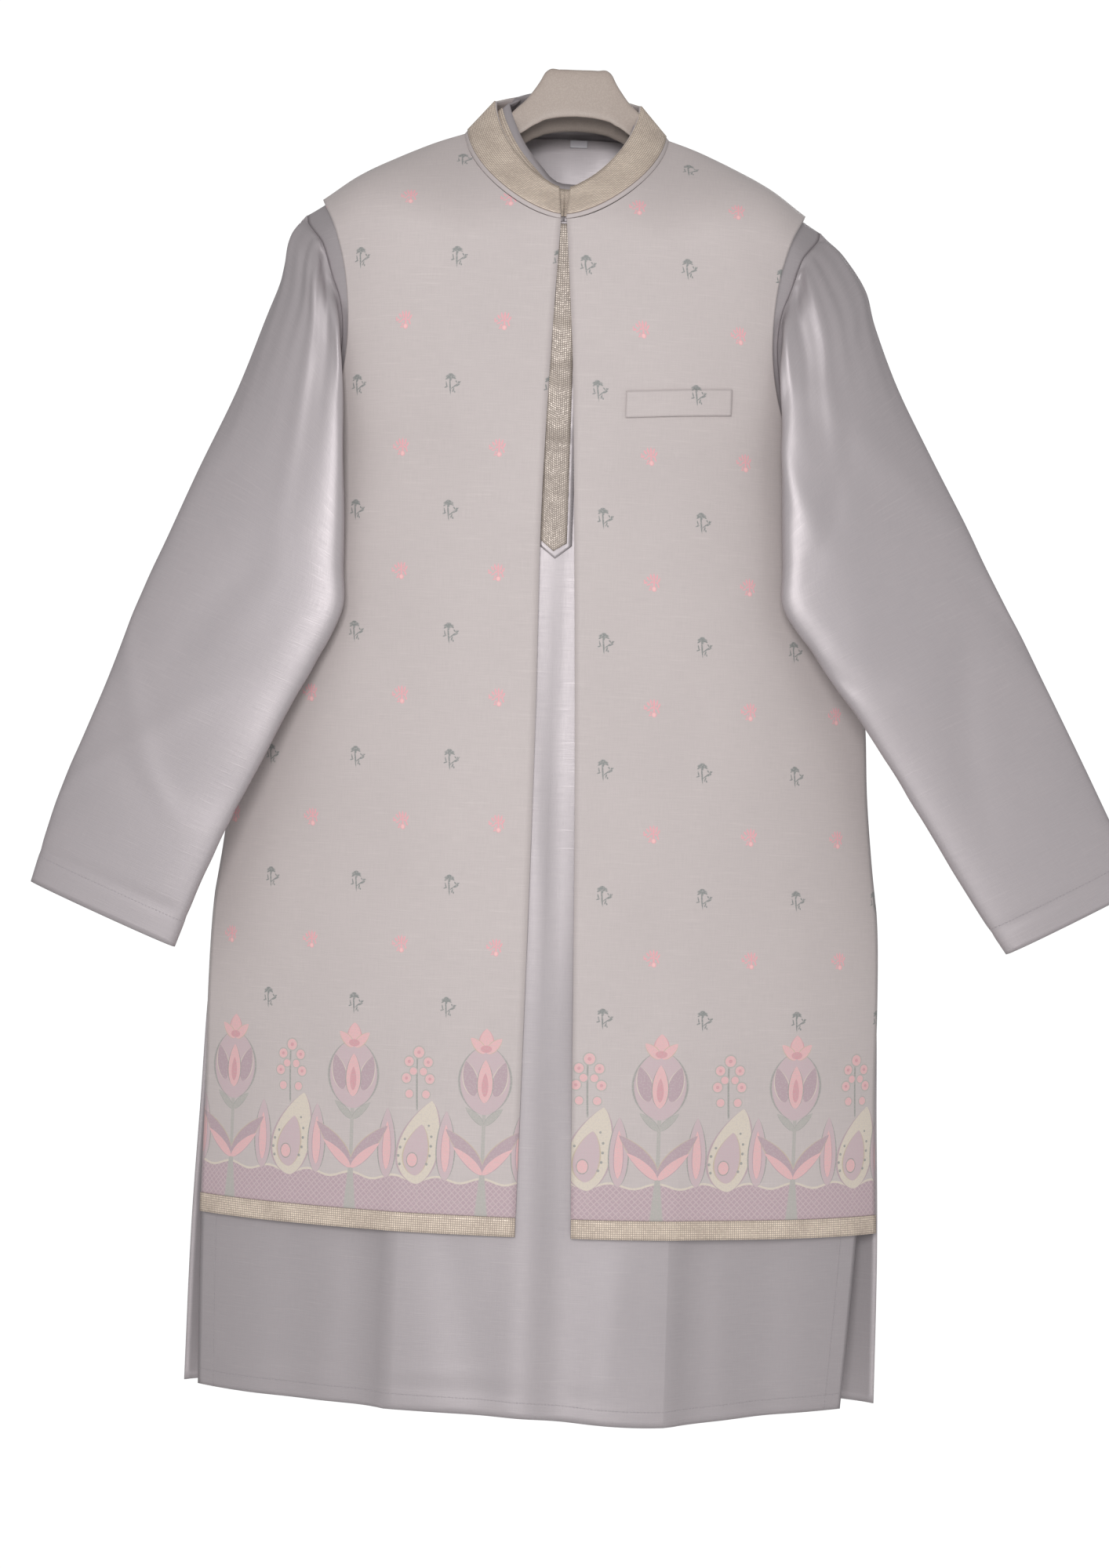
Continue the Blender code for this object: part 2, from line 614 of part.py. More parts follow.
for sign, side in ((-1, "right"), (1, "left")):
    front = jacket_front(sign, side)
    wall("jacket_front_" + side, front, JACKET_WALL, COLOURS["jacket"])
    lie = moved_out(front, JACKET_WALL / 2 + SEAM + TAPE_WALL / 2, np.array([0, -1, 0]))
    wall("jacket_hem_tape_" + side, lie[-2:], TAPE_WALL, COLOURS["tape"])

half_columns = np.concatenate([NECK_COLUMNS * 88 / 209,
                               [0.5, 0.61, 0.72, 0.82, 0.9, 0.96, 1.0]])
back = panel(1, "back", np.concatenate([-half_columns[:0:-1], half_columns]),
             (slit_of(JACKET_SLIT, "right"), slit_of(JACKET_SLIT, "left")), 3.6, jacket_rows)
wall("jacket_back", back, JACKET_WALL, COLOURS["jacket"])
lie = moved_out(back, JACKET_WALL / 2 + SEAM + TAPE_WALL / 2, np.array([0, 1, 0]))
wall("jacket_hem_tape_back", lie[-2:], TAPE_WALL, COLOURS["tape"])

# Pocket welt on the left front
ends = np.linspace(0, 1, 5)
welt_x = WELT_ACROSS[0] + ends * (WELT_ACROSS[1] - WELT_ACROSS[0])
welt_top = WELT_DOWN[0] + ends * (WELT_DOWN[1] - WELT_DOWN[0])
welt_down = welt_top[None, :] + np.linspace(0, WELT_DOWN[2], 3)[:, None]
welt_across = welt_x[None, :] + 0 * welt_down
y = body_depth(welt_across - skew(welt_down), welt_down, 1, "front")
welt = np.stack([welt_across, y, -welt_down], axis=-1)
welt = moved_out(welt, JACKET_WALL / 2 + SEAM + JACKET_WALL / 2 + 0.3, np.array([0, -1, 0]))
wall("jacket_pocket_welt", welt, JACKET_WALL, COLOURS["jacket"])
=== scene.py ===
# %% [markdown]
# # A kurta and a long open jacket on a hanger
# The object is a long-sleeved kurta of satin silk under a sleeveless jacket of slubbed
# silk with small woven sprigs, both hung on a broad moulded hanger. Cloth could be
# draped by a simulation, but this set hangs nearly flat, pressed and still. Each cloth
# piece is therefore a surface worked out from the pattern cutter's own sizes, and its
# folds are added as soft ridges and troughs of uneven length and depth.

# %% Frame
import bpy
import numpy as np
from mathutils import Euler, Matrix


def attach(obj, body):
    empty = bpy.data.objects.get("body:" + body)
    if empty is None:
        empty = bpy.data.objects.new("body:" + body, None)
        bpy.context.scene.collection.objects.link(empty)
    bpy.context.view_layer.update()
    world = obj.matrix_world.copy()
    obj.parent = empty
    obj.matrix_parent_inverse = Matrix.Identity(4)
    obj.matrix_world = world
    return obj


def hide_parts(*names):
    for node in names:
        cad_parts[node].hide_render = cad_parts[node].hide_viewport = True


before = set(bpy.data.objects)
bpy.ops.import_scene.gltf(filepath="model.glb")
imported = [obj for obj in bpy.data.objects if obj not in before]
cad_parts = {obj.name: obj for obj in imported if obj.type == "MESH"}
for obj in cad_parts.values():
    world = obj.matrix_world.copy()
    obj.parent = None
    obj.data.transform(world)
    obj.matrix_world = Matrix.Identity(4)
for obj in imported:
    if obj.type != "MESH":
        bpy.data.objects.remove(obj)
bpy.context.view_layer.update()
MM = 0.001
print("solids in the frame:", len(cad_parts))

# %% [markdown]
# ## Camera, light and floor
# The set was photographed from the front, square to the hanger, with the camera level
# with the middle of the garment and turned two degrees about its own line of sight.
# A long lens 2.3 m away keeps the sides nearly parallel. The light is a white room:
# an even surround gives the flat, clean look, and a lamp beside the camera lights the
# surfaces that face it and lets the satin fall off to the sides of each fold. Weak
# lamps at the sides, below and behind keep the edges, the hanger's underside and the
# back from going dark. The floor lies well below the hem, because the set hangs in
# the air.

# %% Camera
scene = bpy.context.scene
scene.view_settings.view_transform = "Standard"
DISTANCE = 2.3                  # metres from the camera to the hanger
PIXEL = 0.68                    # millimetres of cloth for each pixel of height
PIXELS_HIGH = 2000
ROLL = -2                       # degrees about the line of sight
camera = bpy.data.objects.new("camera", bpy.data.cameras.new("camera"))
scene.collection.objects.link(camera)
camera.data.sensor_width = 36
camera.data.lens = camera.data.sensor_width * DISTANCE / (PIXELS_HIGH * PIXEL * MM)
camera.matrix_world = (Matrix.Translation((0.0006, -DISTANCE, -0.6178))
                       @ Matrix.Rotation(np.radians(ROLL), 4, "Y")
                       @ Euler((np.pi / 2, 0, 0)).to_matrix().to_4x4())
scene.camera = camera
print("lens %.1f mm" % camera.data.lens)

# %% Light
world = bpy.data.worlds.new("white room")
scene.world = world
world.use_nodes = True
room = world.node_tree
surround = room.nodes["Background"]
surround.inputs["Color"].default_value = (1, 1, 1, 1)
path = room.nodes.new("ShaderNodeLightPath")
strength = room.nodes.new("ShaderNodeMix")
strength.inputs[2].default_value = 0.38     # what lights the cloth
strength.inputs[3].default_value = 1.05     # what the camera sees behind it
room.links.new(path.outputs["Is Camera Ray"], strength.inputs[0])
room.links.new(strength.outputs[0], surround.inputs["Strength"])


def lamp(name, place, aim, size, power):
    """Add a square area lamp at a place, turned so that it shines at the aim."""
    made = bpy.data.objects.new(name, bpy.data.lights.new(name, "AREA"))
    made.data.size = size
    made.data.energy = power
    made.location = place
    towards = Matrix.Translation(aim).to_translation() - made.location
    made.rotation_euler = towards.to_track_quat("-Z", "Y").to_euler()
    scene.collection.objects.link(made)
    return made


# Name, place, aim, width in metres, power in watts
LAMPS = (("front lamp", (-0.25, -2.9, 0.05), (0, 0, -0.6), 0.9, 46),
         ("left lamp", (-2.0, -1.6, 0.2), (0, 0, -0.5), 2.6, 8),
         ("right lamp", (2.2, -1.4, -0.2), (0, 0, -0.6), 2.6, 9),
         ("low lamp", (0.2, -2.6, -1.7), (0, 0, -0.3), 1.2, 8),
         ("back lamp", (0.4, 2.8, 0.4), (0, 0, -0.6), 1.6, 26))
for row in LAMPS:
    lamp(*row)
print("lamps:", len(LAMPS), "in all", sum(row[-1] for row in LAMPS), "watts")

# %% [markdown]
# ## Shader maths
# A cloth's finish is many small sums: a weave is two sets of threads, a sprig is a few
# ellipses. Such sums could be wired by hand, node by node, but they are easier to read
# as Python expressions. Wire wraps one socket, so that a * b adds a Math node. Paint
# is one material: its node method adds any other node.


# %% A socket with arithmetic
class Wire:
    """One number or colour socket; each operator adds a Math node to its material."""

    def __init__(self, paint, socket):
        self.paint, self.socket = paint, socket

    def math(self, kind, *values):
        return self.paint.node("ShaderNodeMath", {"operation": kind},
                               dict(enumerate((self, *values))))

    def __add__(self, other): return self.math("ADD", other)
    def __sub__(self, other): return self.math("SUBTRACT", other)
    def __rsub__(self, other): return self.paint.number(other).math("SUBTRACT", self)
    def __mul__(self, other): return self.math("MULTIPLY", other)
    def __truediv__(self, other): return self.math("DIVIDE", other)
    def __pow__(self, other): return self.math("POWER", other)
    __radd__, __rmul__ = __add__, __mul__

    def size(self): return self.math("ABSOLUTE")
    def part(self): return self.math("FRACT")
    def least(self, other): return self.math("MINIMUM", other)
    def most(self, other): return self.math("MAXIMUM", other)

    def fade(self, start, end):
        """Return 0 at start and 1 at end, eased; start may be the larger one."""
        return self.paint.node("ShaderNodeMapRange", {"interpolation_type": "SMOOTHSTEP"},
                               {"Value": self, "From Min": start, "From Max": end})


# %% A material
class Paint:
    """One Principled material, with methods that add nodes to it."""

    def __init__(self, name, **constant):
        self.material = bpy.data.materials.new(name)
        self.material.use_nodes = True
        self.tree = self.material.node_tree
        self.shader = self.tree.nodes["Principled BSDF"]
        for socket, value in constant.items():
            self.shader.inputs[socket.replace("_", " ")].default_value = value

    def put(self, socket, value):
        if isinstance(value, Wire):
            self.tree.links.new(value.socket, socket)
        elif hasattr(socket.default_value, "__len__") and len(value) < len(socket.default_value):
            socket.default_value = (*value, 1)
        else:
            socket.default_value = value

    def node(self, kind, settings, sockets, out=0):
        """Add a node: its settings first, then the values or links of its sockets."""
        made = self.tree.nodes.new(kind)
        for name, value in settings.items():
            setattr(made, name, value)
        for name, value in sockets.items():
            self.put(made.inputs[name], value)
        return Wire(self, made.outputs[out])

    def number(self, value):
        return self.node("ShaderNodeMath", {"operation": "ADD"}, {0: value, 1: 0.0})

    def mix(self, share, low, high):
        """Blend two colours: low where share is 0 and high where it is 1."""
        return self.node("ShaderNodeMix", {"data_type": "RGBA"}, {0: share, 6: low, 7: high}, 2)

    def place(self, layer="cloth"):
        """Return a piece's own UV map as a vector, in metres of cloth."""
        return self.node("ShaderNodeUVMap", {"uv_map": layer}, {})

    def axes(self, vector):
        """Return the x and y of a vector as two numbers."""
        made = self.tree.nodes.new("ShaderNodeSeparateXYZ")
        self.put(made.inputs[0], vector)
        return Wire(self, made.outputs[0]), Wire(self, made.outputs[1])

    def vector(self, x, y):
        return self.node("ShaderNodeCombineXYZ", {}, {0: x, 1: y})

    def noise(self, vector, scale, detail=2.0, rough=0.5):
        return self.node("ShaderNodeTexNoise", {},
                         {"Vector": vector, "Scale": scale, "Detail": detail, "Roughness": rough})

    def finish(self, slots):
        for name, value in slots.items():
            self.put(self.shader.inputs[name], value)
        return self.material


def tone(red, green, blue):
    """Return a colour for the shader from the 0 to 255 steps that a screen shows."""
    value = np.array([red, green, blue]) / 255
    linear = np.where(value <= 0.04045, value / 12.92, ((value + 0.055) / 1.055) ** 2.4)
    return tuple(float(v) for v in linear)


# %% [markdown]
# ## The garment's sizes
# A pattern cutter knows a garment by a few measures at each height: how wide and how
# deep it hangs, where its shoulder line and armholes run, and how far its slits open.
# Each table is one such measure, read as a smooth curve. All are millimetres, "down"
# is measured from the top of the hanger, and right and left are the wearer's.

# %% Layers and necklines
LAYER = 5.0                     # the jacket lies this far outside the kurta
KURTA_HEM, JACKET_HEM = 1145.0, 996.0
NECK_HALF = (84.8, 88.0)        # half width of the neckline, kurta and jacket
FRONT_NECK = (145.2, 143.5)
BACK_NECK = (46.2, 45.0)
BACK_NECK_DEPTH = (53.0, 58.0)
NECK_POWER = 1.65
HEM_TAPE = 16.0
GARMENT_X, TOP_SKEW = -3.3, -5.0
TIP = ((222.0, 133.0), (209.0, 119.0))    # outer end of the shoulder line
print("hems at %d and %d mm, jacket %d mm outside the kurta" % (KURTA_HEM, JACKET_HEM, LAYER))


def rows(names, *values):
    """Return a small table as one array for each named column."""
    return dict(zip(names.split(), np.array(values, dtype=float).T))


# %% Body tables
BODY = rows("down width front back",
            (40, 222, 66, 46), (133, 222, 70, 50), (240, 226, 73, 50), (335, 231, 76, 50),
            (450, 254, 78, 50), (560, 267, 79, 50), (620, 270, 80, 50), (680, 276, 80, 51),
            (740, 284, 81, 52), (800, 289, 82, 53), (900, 293, 83, 54), (1000, 297, 86, 55),
            (1160, 299, 92, 58))
SHOULDER = rows("across down roll slant",
                (0, 36, 112, 1.0), (50, 49, 108, 1.0), (81, 60.5, 102, 1.0),
                (113, 71.5, 84, 0.75), (147, 87.5, 62, 0.3), (178, 104.5, 48, 0.0),
                (209, 125.5, 42, 0.0), (222, 133, 40, 0.0))
KURTA_ARMHOLE = rows("down across",
                     (133, 222), (140, 220.5), (150, 214), (160, 206.5), (172, 201.5),
                     (190, 196), (210, 188.5), (235, 185), (260, 186.5), (285, 191.5),
                     (305, 199), (320, 209), (330, 221), (335, 231))
JACKET_ARMHOLE = rows("down across",
                      (119, 209), (130, 204), (140, 199), (150, 194.5), (165, 189.5),
                      (180, 185.5), (205, 181.5), (230, 180), (255, 181), (275, 184),
                      (300, 191), (325, 203), (344, 222), (352, 239))
KURTA_SLIT = rows("down right left", (770, 0, 0), (1000, 9, 20), (1160, 14, 33))
JACKET_SLIT = rows("down right left", (720, 0, 0), (850, 8, 7), (1000, 14, 8))
JACKET_OPENING = rows("down right left",
                      (143, -7, -2.4), (250, -11.5, 6), (383, -15, 12),
                      (552, -14, 18.6), (992, -16, 30.4))
# Long upright folds and pressed creases: place, half width, height, where they begin
FOLDS = rows("across width height start",
             (-8, 20, 3.0, 560), (30, 26, -3.0, 560), (200, 22, -3.5, 820),
             (-205, 24, -3.0, 840))
PRESSED = rows("across width height start", (-121, 20, 19.0, 720), (117, 22, 21.0, 720))
PRESS_RETURN, PRESS_REACH = 0.8, 75.0     # share of a crease's drop that returns, and its reach
print("body %d to %d mm across, half width" % (BODY["width"].min(), BODY["width"].max()))

# %% Sleeve tables
RIGHT_SLEEVE = rows("outer outer_down inner inner_down outer_y inner_y half own",
                    (241, 155, 190, 289, -4, -54, 38, 0.14),
                    (246, 190, 185.5, 320, -8, -56, 34, 0.28),
                    (258, 226, 183.5, 352, -12, -60, 30, 0.45),
                    (280, 290, 181, 394, -18, -64, 24, 0.66),
                    (309, 358, 180, 437, -25, -68, 19, 0.86),
                    (333, 418, 179, 477, -32, -72, 16, 1.0),
                    (349, 456, 197, 516, -34, -72, 15, 1.0),
                    (364, 497, 218, 555, -35, -71, 14, 1.0),
                    (380, 543, 239, 599, -36, -70, 14, 1.0),
                    (398, 590, 262, 645, -38, -68, 13, 1.0),
                    (411, 623, 277, 677, -39, -67, 13, 1.0),
                    (424, 664, 293.5, 716, -40, -65, 13, 1.0),
                    (438, 716, 312, 766, -42, -62, 13, 1.0))
LEFT_SLEEVE = rows("outer outer_down inner inner_down outer_y inner_y half own",
                   (238, 154, 184, 289, -4, -54, 38, 0.14),
                   (257, 183, 185, 318, -8, -56, 34, 0.28),
                   (266, 216, 186, 348, -12, -60, 30, 0.45),
                   (286, 268, 187.5, 386, -18, -64, 24, 0.66),
                   (315, 325, 189, 425, -25, -68, 19, 0.86),
                   (346, 383, 190.5, 464, -32, -72, 16, 1.0),
                   (364, 419, 215, 497, -34, -72, 15, 1.0),
                   (383.5, 455, 239, 530, -35, -71, 14, 1.0),
                   (400, 484, 260, 557, -36, -70, 14, 1.0),
                   (423, 528.5, 289, 598.5, -38, -68, 13, 1.0),
                   (454.7, 589.6, 327, 656, -39, -66, 13, 1.0),
                   (484.5, 648, 363, 711, -41, -64, 13, 1.0),
                   (506, 688, 390, 748, -42, -62, 13, 1.0))
print("sleeves drop %d and %d mm to the cuff" % (766 - 155, 748 - 154))


# %% Curves through a table
def curve(table, name, at, key="down"):
    """Return a smooth curve through one column: a Hermite cubic between its rows."""
    x, y = table[key], table[name]
    slope = np.gradient(y, x)
    at = np.asarray(at, dtype=float)
    i = np.clip(np.searchsorted(x, at) - 1, 0, len(x) - 2)
    h = x[i + 1] - x[i]
    t = np.clip((at - x[i]) / h, 0, 1)
    return ((2 * t**3 - 3 * t**2 + 1) * y[i] + (t**3 - 2 * t**2 + t) * h * slope[i]
            + (3 * t**2 - 2 * t**3) * y[i + 1] + (t**3 - t**2) * h * slope[i + 1])


def ease(t):
    """Return 0 to 1 with flat ends: three t squared less two t cubed."""
    t = np.clip(t, 0, 1)
    return t * t * (3 - 2 * t)


def skew(down):
    """Return how far the garment's middle lies to the side at each height."""
    return TOP_SKEW * (1 - ease((down - 130) / 570))


def shoulder_down(across, layer):
    """Return the shoulder line's height for the kurta (0) or the jacket (1)."""
    return curve(SHOULDER, "down", np.abs(across), "across") - 1.12 * LAYER * layer


def front_neck_down(x, layer):
    """Return the front neckline's height: a half ellipse, pointed by its power."""
    part = np.clip(np.abs(x) / NECK_HALF[layer], 0, 1)
    side = shoulder_down(NECK_HALF[layer], layer)
    return side + (FRONT_NECK[layer] - side) * (1 - part**NECK_POWER) ** (1 / NECK_POWER)


def back_neck_down(x, layer):
    """Return the back neckline's height: a shallow, squarer curve."""
    part = np.clip(np.abs(x) / NECK_HALF[layer], 0, 1)
    side = shoulder_down(NECK_HALF[layer], layer)
    return side + (BACK_NECK[layer] - side) * (1 - part**2.4) ** 0.8


# %% [markdown]
# ## Folds
# Cloth that hangs still keeps traces: a press line, a pull towards a seam, a ripple
# where a placket is stiffer than the cloth. Each trace here is one soft ridge, with a
# middle, a direction, a length, a width and a height. Height falls off as a bell
# across the ridge and as a flatter bell along it. Ridges of unlike sizes that cross
# each other read as cloth, where even waves would read as corrugated sheet.


# %% Soft ridges
def ridges(table, x, down):
    """Return the summed height of a table's ridges at each point.

    Turn (x, down) into distances along and across each ridge. Its height is h times
    exp(-(across / width) squared) times exp(-(along / length) to the fourth).
    """
    total = np.zeros(np.broadcast(x, down).shape)
    for mx, md, angle, length, width, h in zip(*[table[k] for k in
                                                 "x down angle length width height".split()]):
        c, s = np.cos(np.radians(angle)), np.sin(np.radians(angle))
        along = (x - mx) * c + (down - md) * s
        across = -(x - mx) * s + (down - md) * c
        total = total + h * np.exp(-(across / width) ** 2 - (along / length) ** 4)
    return total


def waver(x, down, seed, size=90.0):
    """Return a slow, uneven wave: five sines of unlike pitch and direction, summed."""
    spin = np.random.default_rng(seed)
    total = np.zeros(np.broadcast(x, down).shape)
    for k in range(5):
        angle, phase = spin.uniform(0, np.pi), spin.uniform(0, 2 * np.pi)
        pitch = size * spin.uniform(0.6, 1.7)
        total = total + np.sin((x * np.cos(angle) + down * np.sin(angle)) * 2 * np.pi / pitch
                               + phase)
    return total / 5


# %% Ridge tables: middle, direction from level, half length, half width, height
KURTA_RIDGES = rows("x down angle length width height",
                    (-4, 236, 4, 30, 7, 1.3), (-2, 262, -5, 26, 6, -1.0),
                    (-5, 287, 2, 30, 8, 1.4), (-3, 318, -3, 28, 7, -1.2),
                    (-5, 333, 6, 30, 5, 1.1), (-2, 356, -2, 26, 8, -1.2),
                    (-4, 379, 3, 30, 6, 1.0), (-3, 404, -4, 26, 7, -0.7),
                    (-14, 640, 84, 210, 12, 1.3), (8, 620, 91, 240, 10, -1.6),
                    (24, 840, 86, 190, 14, 1.4),
                    (-60, 1060, 80, 90, 20, -1.4), (60, 1085, 98, 70, 18, 1.2),
                    (160, 1075, 88, 80, 14, 1.4), (-170, 1080, 93, 70, 16, 1.2),
                    (0, 1128, 3, 200, 7, -0.7), (-150, 1120, -4, 120, 6, 0.6))
JACKET_RIDGES = rows("x down angle length width height",
                     (-60, 245, 12, 40, 16, 0.6), (-30, 275, 24, 36, 12, -0.5),
                     (-120, 300, 80, 120, 26, -0.9), (-165, 420, 96, 150, 24, 0.8),
                     (-95, 640, 92, 190, 34, 1.0), (-215, 700, 84, 180, 22, -0.9),
                     (-150, 900, 88, 120, 30, 1.0), (-50, 880, 95, 130, 22, -0.8),
                     (-25, 545, 8, 30, 10, 0.4), (-35, 610, -6, 34, 12, 0.4),
                     (95, 250, 86, 110, 28, 0.8), (150, 330, 8, 60, 22, -0.6),
                     (70, 440, 94, 150, 26, -0.8), (160, 560, 84, 190, 30, 1.0),
                     (100, 700, 97, 190, 26, -0.8), (215, 760, 82, 160, 24, 0.9),
                     (60, 900, 90, 120, 22, 0.8), (175, 905, 93, 100, 26, -0.9),
                     (145, 165, 60, 60, 18, 0.8), (-140, 160, 120, 60, 20, 0.7))
BACK_RIDGES = rows("x down angle length width height",
                   (-120, 240, 55, 90, 24, 1.0), (115, 250, 122, 100, 26, 1.2),
                   (-30, 420, 88, 200, 30, -1.4), (60, 520, 93, 240, 26, 1.3),
                   (-150, 620, 85, 240, 30, 1.6), (165, 700, 96, 230, 28, -1.4),
                   (10, 840, 90, 170, 34, 1.8), (-90, 900, 94, 140, 24, -1.4),
                   (110, 930, 86, 130, 26, 1.5), (-215, 860, 88, 150, 22, 1.2),
                   (0, 70, 84, 40, 14, 1.6), (-28, 90, 70, 40, 9, -1.4), (34, 85, 106, 46, 10, 1.5),
                   (0, 1060, 3, 160, 12, 0.8))
print("ridges:", len(KURTA_RIDGES["x"]) + len(JACKET_RIDGES["x"]) + len(BACK_RIDGES["x"]))


# %% [markdown]
# ## Fronts and backs
# A hung garment's body is a lens in section, with its points at the side seams, and its
# cloth rolls over the shoulder line onto the hanger. Fronts and backs are grids of
# columns from side to side and rows from the neckline or shoulder to the hem. The
# columns follow the armhole's cut above and the side seam and slit below.


# %% Depth of the body
def body_depth(x, down, layer, side, folds=None):
    """Return y of a body surface at (x, down) for side "front" or "back".

    The section's depth is (1 - (across / width) to a power) to a power. Near the
    shoulder it is cut by a quarter circle, which turns to a sine near the neck. Past a
    pressed crease the cloth drops by h times (1 - exp(-past / width)) and comes back
    slowly. The jacket lies over the kurta's folds and shows less than half of each.
    """
    across = np.abs(x)
    width = curve(BODY, "width", down) + LAYER * layer
    deep = curve(BODY, side, down) + LAYER * layer
    full = np.interp(down, [150, 335], [1, 0])
    lens = (1 - np.clip(across / width, 0, 1) ** (2.2 + 2.4 * full)) ** (0.8 - 0.2 * full)
    roll = curve(SHOULDER, "roll", across, "across") + LAYER * layer
    slant = curve(SHOULDER, "slant", across, "across")
    top = shoulder_down(across, layer)
    start = np.zeros_like(across)
    if side == "back":
        part = np.clip(across / NECK_HALF[layer], 0, 1)
        start = BACK_NECK_DEPTH[layer] * np.sqrt(1 - part**2)
        top = np.where(part < 1, back_neck_down(x, layer), top)
        roll = 0.62 * roll
    t = np.clip((down - top) / roll, 0, 1)
    over = (1 - slant) * np.sqrt(1 - (1 - t) ** 2) + slant * np.sin(t * np.pi / 2)
    y = start + (deep * lens - start) * over
    calm = np.sqrt(np.clip(lens, 0, 1)) * ease((down - top) / 60)
    if side == "front":
        reach = 0.3 if layer else 1.0
        for a, w, h, s in zip(*[FOLDS[k] for k in ("across", "width", "height", "start")]):
            y = y + reach * h * ease((down - s) / 330) * np.exp(-((x - a) / w) ** 2) * np.sqrt(lens)
        for a, w, h, s in zip(*[PRESSED[k] for k in ("across", "width", "height", "start")]):
            past = np.clip((x - a) * np.sign(a), 0, None)
            back = PRESS_RETURN * h * (1 - np.exp(-past / PRESS_REACH))
            fall = h * (1 - np.exp(-past / w)) - back
            y = y - reach * ease((down - s) / 300) * fall * np.sqrt(lens)
    if folds is not None:
        y = y + calm * ridges(folds, x, down)
    return -y if side == "front" else y


# %% One panel
def panel(layer, side, columns, slits, low_rows, folds, hem_extra=None):
    """Return a front or back as a grid of points, columns running from -1 to 1.

    A column starts at the neckline or shoulder, turns down over the roll, and runs to
    the hem. Across, x is the column times the body's width, and the last columns
    give way to the cut edge by the column to the power 3.6.
    """
    tip, hem = TIP[layer], (KURTA_HEM, JACKET_HEM)[layer]
    neck = (front_neck_down, back_neck_down)[side == "back"]
    c = np.asarray(columns)
    x_top = c * tip[0]
    top = np.where(np.abs(x_top) < NECK_HALF[layer], neck(x_top, layer),
                   shoulder_down(x_top, layer))
    roll = curve(SHOULDER, "roll", np.abs(x_top), "across") * (0.62 if side == "back" else 1)
    part = np.clip(np.abs(x_top) / NECK_HALF[layer], 0, 1)
    if side == "front":
        roll = 30 + (roll - 30) * part**3
    turn = 1 - np.cos(np.linspace(0, np.pi / 2, 19))
    down_top = top + turn[:, None] * roll
    share = np.linspace(0, 1, low_rows + 1)[1:, None] ** 1.15
    last = hem + (0 if hem_extra is None else hem_extra(c))
    down = np.vstack([down_top, down_top[-1] + share * (last - down_top[-1])])
    base = np.maximum(curve(BODY, "width", down) + LAYER * layer, tip[0])
    base = np.where(down < 335, tip[0] + (base - tip[0]) * ease((down - 133) / 202), base)
    armhole = (KURTA_ARMHOLE, JACKET_ARMHOLE)[layer]
    cut = curve(armhole, "across", np.clip(down, armhole["down"][0], armhole["down"][-1]))
    edge = np.where(down < armhole["down"][-1], cut, curve(BODY, "width", down) + LAYER * layer)
    edge = edge - np.where(c < 0, slits[0](down), slits[1](down))
    x = c * base + np.sign(c) * np.abs(c) ** 3.6 * (edge - base)
    y = body_depth(x, down, layer, side, folds)
    y = (-1 if side == "front" else 1) * np.maximum(np.abs(y), 0.2)
    return np.stack([x + skew(down), y, -down], axis=-1)


def slit_of(table, side):
    """Return a function for how far a slit's edge stands in at each height."""
    return lambda down: np.where(down > table["down"][0], curve(table, side, down), 0.0)


def closed_side(down):
    """Return no slit at any height."""
    return 0 * down


def column_set(layer, inner, outer):
    """Return columns from 0 to 1, close together where the neckline ends."""
    neck = NECK_HALF[layer] / TIP[layer][0]
    side = neck + (1 - neck) * np.linspace(0, 1, outer + 1)[1:] ** 0.9
    return np.concatenate([neck * np.sin(np.linspace(0, np.pi / 2, inner)), side])


# %% [markdown]
# ## From a grid to a piece of cloth
# A grid of points becomes a mesh with one quad between each four neighbours. Cloth
# needs two more things. Its weave follows the threads and not the world, so each piece
# gets a UV map in metres of cloth, measured along its own rows and columns. And it has
# two faces, so a Solidify modifier gives it its thickness.


# %% Cloth maps
def arc_across(x, down, layer, side):
    """Return the length of cloth from the middle line out to x, with the sign of x.

    The section's length is summed on a table of 2 mm steps at 60 heights, and read
    from it between the nearest four entries. Above the armhole, x is read as below it.
    """
    xs, ds = np.arange(0, 322, 2.0), np.linspace(335, 1170, 60)
    y = body_depth(xs[None, :], ds[:, None], layer, side)
    step = np.hypot(np.diff(xs)[None, :], np.diff(y, axis=1))
    table = np.concatenate([np.zeros((60, 1)), np.cumsum(step, axis=1)], axis=1)
    r = np.clip((down - 335) / (ds[1] - ds[0]), 0, 58.999)
    c = np.clip(np.abs(x) / 2.0, 0, len(xs) - 1.001)
    i, j = r.astype(int), c.astype(int)
    a = table[i, j] * (1 - (c - j)) + table[i, j + 1] * (c - j)
    b = table[i + 1, j] * (1 - (c - j)) + table[i + 1, j + 1] * (c - j)
    return np.sign(x) * (a + (b - a) * (r - i))


def straight_down(grid):
    """Return the height that each point would have if its column hung straight.

    Below 300 mm it is the point's own height, and above it the steps are summed.
    """
    fall = np.hypot(np.diff(grid[:, :, 1], axis=0), np.diff(grid[:, :, 2], axis=0))
    down = -grid[:, :, 2]
    low = int(np.argmin(np.abs(down[:, down.shape[1] // 2] - 300)))
    rolled = np.concatenate([np.zeros((1, grid.shape[1])), np.cumsum(fall, axis=0)])
    rolled = rolled - rolled[low] + down[low]
    return np.where(np.arange(len(grid))[:, None] < low, rolled, down)


def panel_map(grid, layer, side):
    """Return metres of cloth across and down for a front or a back."""
    down = -grid[:, :, 2]
    return arc_across(grid[:, :, 0] - skew(down), down, layer, side) * MM, -straight_down(grid) * MM


